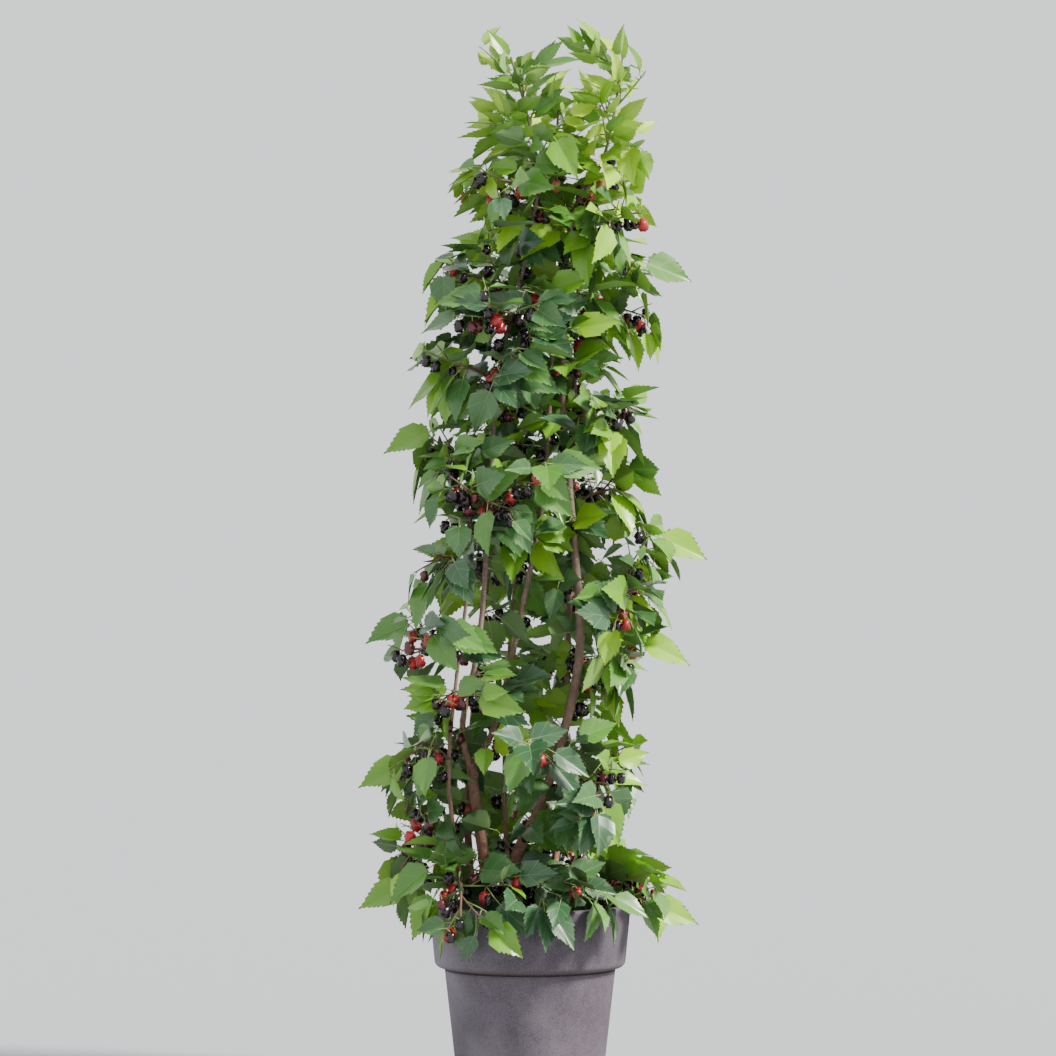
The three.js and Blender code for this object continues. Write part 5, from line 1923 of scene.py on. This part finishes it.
class BarkSettings(bpy.types.PropertyGroup):
    low: colour_property("Low", "Colour of the bark near the ground", (0.31, 0.150, 0.092))
    high: colour_property("High", "Colour of the bark further up", (0.29, 0.205, 0.165))
    dark: colour_property("Dark", "Colour of the cracks", (0.085, 0.046, 0.034))
    pore: colour_property("Pore", "Colour of the breathing pores", (0.45, 0.34, 0.26))
    relief: bpy.props.FloatProperty(
        name="Relief", description="Depth of the bark's relief", default=1, min=0, subtype="FACTOR"
    )


class TwigSettings(bpy.types.PropertyGroup):
    brown: colour_property("Brown", "Colour of the older twigs", (0.13, 0.072, 0.042))
    olive: colour_property("Olive", "Colour of the green-brown twigs", (0.13, 0.115, 0.045))
    green: colour_property("Green", "Colour of the young twigs", (0.17, 0.24, 0.07))


# Painted light and age: darker tints go to low, front and left leaves as painted shade, paler ones to sunlit
# and backlit leaves
class LeafSettings(bpy.types.PropertyGroup):
    deep: colour_property("Deep", "Colour of the oldest leaves", (0.032, 0.094, 0.036))
    dark: colour_property("Dark", "Colour of the old leaves", (0.050, 0.142, 0.038))
    full: colour_property("Full", "Colour of the grown leaves", (0.078, 0.215, 0.028))
    fresh: colour_property("Fresh", "Colour of the newer leaves", (0.130, 0.315, 0.014))
    bright: colour_property("Bright", "Colour of the leaves in full light", (0.235, 0.470, 0.012))
    young: colour_property("Young", "Colour of the youngest leaves", (0.420, 0.650, 0.040))
    stalk: colour_property("Stalk", "Colour of the leaf stalks", (0.24, 0.33, 0.10))


class BerrySettings(bpy.types.PropertyGroup):
    black: colour_property("Black", "Colour of the ripe berries", (0.010, 0.003, 0.007))
    dark: colour_property("Dark red", "Colour of the nearly ripe berries", (0.085, 0.006, 0.012))
    red: colour_property("Red", "Colour of the red berries", (0.36, 0.014, 0.020))
    salmon: colour_property("Salmon", "Colour of the unripe berries", (0.62, 0.19, 0.12))


class StageSettings(bpy.types.PropertyGroup):
    floor: colour_property("Floor", "Colour of the floor", (0.355, 0.371, 0.391))
    distance: length_property("Distance", "How far the camera stands from the plant's column", 9.44)
    height: length_property("Height", "How high the camera stands", 1.105)


class MULBERRY_OT_pot(bpy.types.Operator):
    """Turn the clay pot with its deep rounded rim, and pierce its drain holes"""

    bl_idname = "mulberry.pot"
    bl_label = "Clay Pot"

    def execute(self, context):
        look = context.scene.mulberry_pot
        mesh = pot_mesh(look.groove / MM)
        new_piece("clay_pot", mesh, [clay_material(look)], "clay", "pot")
        return {"FINISHED"}


class MULBERRY_OT_soil(bpy.types.Operator):
    """Fill the pot with crumbly soil, strewn with crumbs and bark chips"""

    bl_idname = "mulberry.soil"
    bl_label = "Soil"

    def execute(self, context):
        look = context.scene.mulberry_soil
        earth = soil_material("Potting soil", look.dark, look.light)
        new_piece("potting_soil", soil_mesh(), [earth], "soil", "soil")
        chips = [plain("Dark crumb", look.light, 0.95), plain("Bark chip", look.chip, 0.9)]
        new_piece("soil_crumbs", crumb_mesh(look.crumbs), chips, "soil")
        return {"FINISHED"}


class MULBERRY_OT_limbs(bpy.types.Operator):
    """Dress the trunk, the limbs and the stems in bark with its relief"""

    bl_idname = "mulberry.limbs"
    bl_label = "Trunk and Limbs"

    def execute(self, context):
        look = context.scene.mulberry_bark
        bark = bark_material(look)
        for number, limb in enumerate(LIMBS):
            new_piece(limb.name + "_bark", bark_mesh(limb, number, look.relief), [bark], "bark", limb.name)
        return {"FINISHED"}


class MULBERRY_OT_twigs(bpy.types.Operator):
    """Grow the shoots, twigs and finer twigs of every mass of foliage"""

    bl_idname = "mulberry.twigs"
    bl_label = "Twigs"

    def execute(self, context):
        look = context.scene.mulberry_twigs
        barks = [
            plain("Brown twig", look.brown, 0.7),
            plain("Olive twig", look.olive, 0.65),
            plain("Green twig", look.green, 0.55),
        ]
        new_piece("twigs", twig_mesh(grown_plant()), barks, "bark")
        return {"FINISHED"}


class MULBERRY_OT_leaves(bpy.types.Operator):
    """Hang the leaves on the shoots and twigs, in one piece for each few tiers of the column"""

    bl_idname = "mulberry.leaves"
    bl_label = "Leaves"

    def execute(self, context):
        look = context.scene.mulberry_leaves
        tints = [look.deep, look.dark, look.full, look.fresh, look.bright, look.young]
        materials = leaf_materials(tints, look.stalk)
        cuts = [leaf_template(number) for number in range(LEAF_CUTS + YOUNG_LEAF_CUTS)]
        plant = grown_plant()
        for name, low, high in LEAF_PIECES:
            nodes = [shoot.name for shoot in SHOOTS if low <= shoot.site[2] < high]
            if not nodes:
                raise RuntimeError(f"no mass of foliage stands in {name}")
            new_piece(name, leaf_mesh(name, plant, low, high, cuts), materials, "foliage", *nodes)
        return {"FINISHED"}


class MULBERRY_OT_berries(bpy.types.Operator):
    """Hang the berries near the roots of the twigs, from unripe to black"""

    bl_idname = "mulberry.berries"
    bl_label = "Berries"

    def execute(self, context):
        look = context.scene.mulberry_berries
        skins = [
            plain("Black berry", look.black, 0.24, Coat_Weight=0.3),
            plain("Dark red berry", look.dark, 0.26, Coat_Weight=0.3),
            plain("Red berry", look.red, 0.3, Coat_Weight=0.2),
            plain("Salmon berry", look.salmon, 0.42),
            plain("Berry stalk", context.scene.mulberry_leaves.stalk, 0.6),
        ]
        new_piece("berries", berry_mesh(grown_plant()), skins, "foliage")
        return {"FINISHED"}


class MULBERRY_OT_stage(bpy.types.Operator):
    """Lay the wide pale floor, and set the sky's soft light, the key light and the camera"""

    bl_idname = "mulberry.stage"
    bl_label = "Stage"

    def execute(self, context):
        look = context.scene.mulberry_stage
        mesh = floor_mesh()
        mesh.materials.append(plain("Studio floor", look.floor, 0.95))
        floor = placed("studio_floor", mesh)
        world = bpy.data.worlds.new("Studio")
        world.use_nodes = True
        sky = world.node_tree.nodes["Background"]
        sky.inputs["Color"].default_value = SKY_COLOUR
        sky.inputs["Strength"].default_value = SKY_STRENGTH
        context.scene.world = world
        key = bpy.data.lights.new("key", "SUN")
        key.energy, key.angle, key.color = KEY_STRENGTH, math.radians(KEY_SPREAD), KEY_COLOUR
        holder = placed("key", key)
        holder.location = KEY_PLACE
        towards = Vector(LIGHT_AIM) - Vector(KEY_PLACE)
        holder.rotation_euler = towards.to_track_quat("-Z", "Y").to_euler()
        lens = bpy.data.cameras.new("camera")
        lens.lens, lens.sensor_width = CAMERA_LENS, CAMERA_SENSOR
        camera = placed("camera", lens)
        camera.location = (CAMERA_ASIDE, -look.distance, look.height)
        camera.rotation_euler = (math.radians(90), 0, 0)
        context.scene.camera = camera
        return {"FINISHED"}


class MULBERRY_PT_panel(bpy.types.Panel):
    """Lists the pieces of the potted mulberry bush"""

    bl_idname = "MULBERRY_PT_panel"
    bl_label = "Potted Mulberry Bush"
    bl_space_type = "VIEW_3D"
    bl_region_type = "UI"
    bl_category = "Mulberry"

    def draw(self, context):
        for operator, settings in STEPS:
            box = self.layout.box()
            box.operator(operator.bl_idname)
            if settings:
                group = getattr(context.scene, settings)
                for key in group.bl_rna.properties.keys():
                    if key not in ("rna_type", "name"):
                        box.prop(group, key)


SETTINGS = {
    "mulberry_pot": PotSettings,
    "mulberry_soil": SoilSettings,
    "mulberry_bark": BarkSettings,
    "mulberry_twigs": TwigSettings,
    "mulberry_leaves": LeafSettings,
    "mulberry_berries": BerrySettings,
    "mulberry_stage": StageSettings,
}
STEPS = [
    (MULBERRY_OT_pot, "mulberry_pot"),
    (MULBERRY_OT_soil, "mulberry_soil"),
    (MULBERRY_OT_limbs, "mulberry_bark"),
    (MULBERRY_OT_twigs, "mulberry_twigs"),
    (MULBERRY_OT_leaves, "mulberry_leaves"),
    (MULBERRY_OT_berries, "mulberry_berries"),
    (MULBERRY_OT_stage, "mulberry_stage"),
]
CLASSES = [*SETTINGS.values(), *(operator for operator, _ in STEPS), MULBERRY_PT_panel]


def register():
    for each in CLASSES:
        bpy.utils.register_class(each)
    for key, settings in SETTINGS.items():
        setattr(bpy.types.Scene, key, bpy.props.PointerProperty(type=settings))


def unregister():
    for key in SETTINGS:
        delattr(bpy.types.Scene, key)
    for each in reversed(CLASSES):
        bpy.utils.unregister_class(each)


def main():
    register()
    for operator, _ in STEPS:
        family, name = operator.bl_idname.split(".")
        getattr(getattr(bpy.ops, family), name)()


if __name__ == "__main__":
    main()
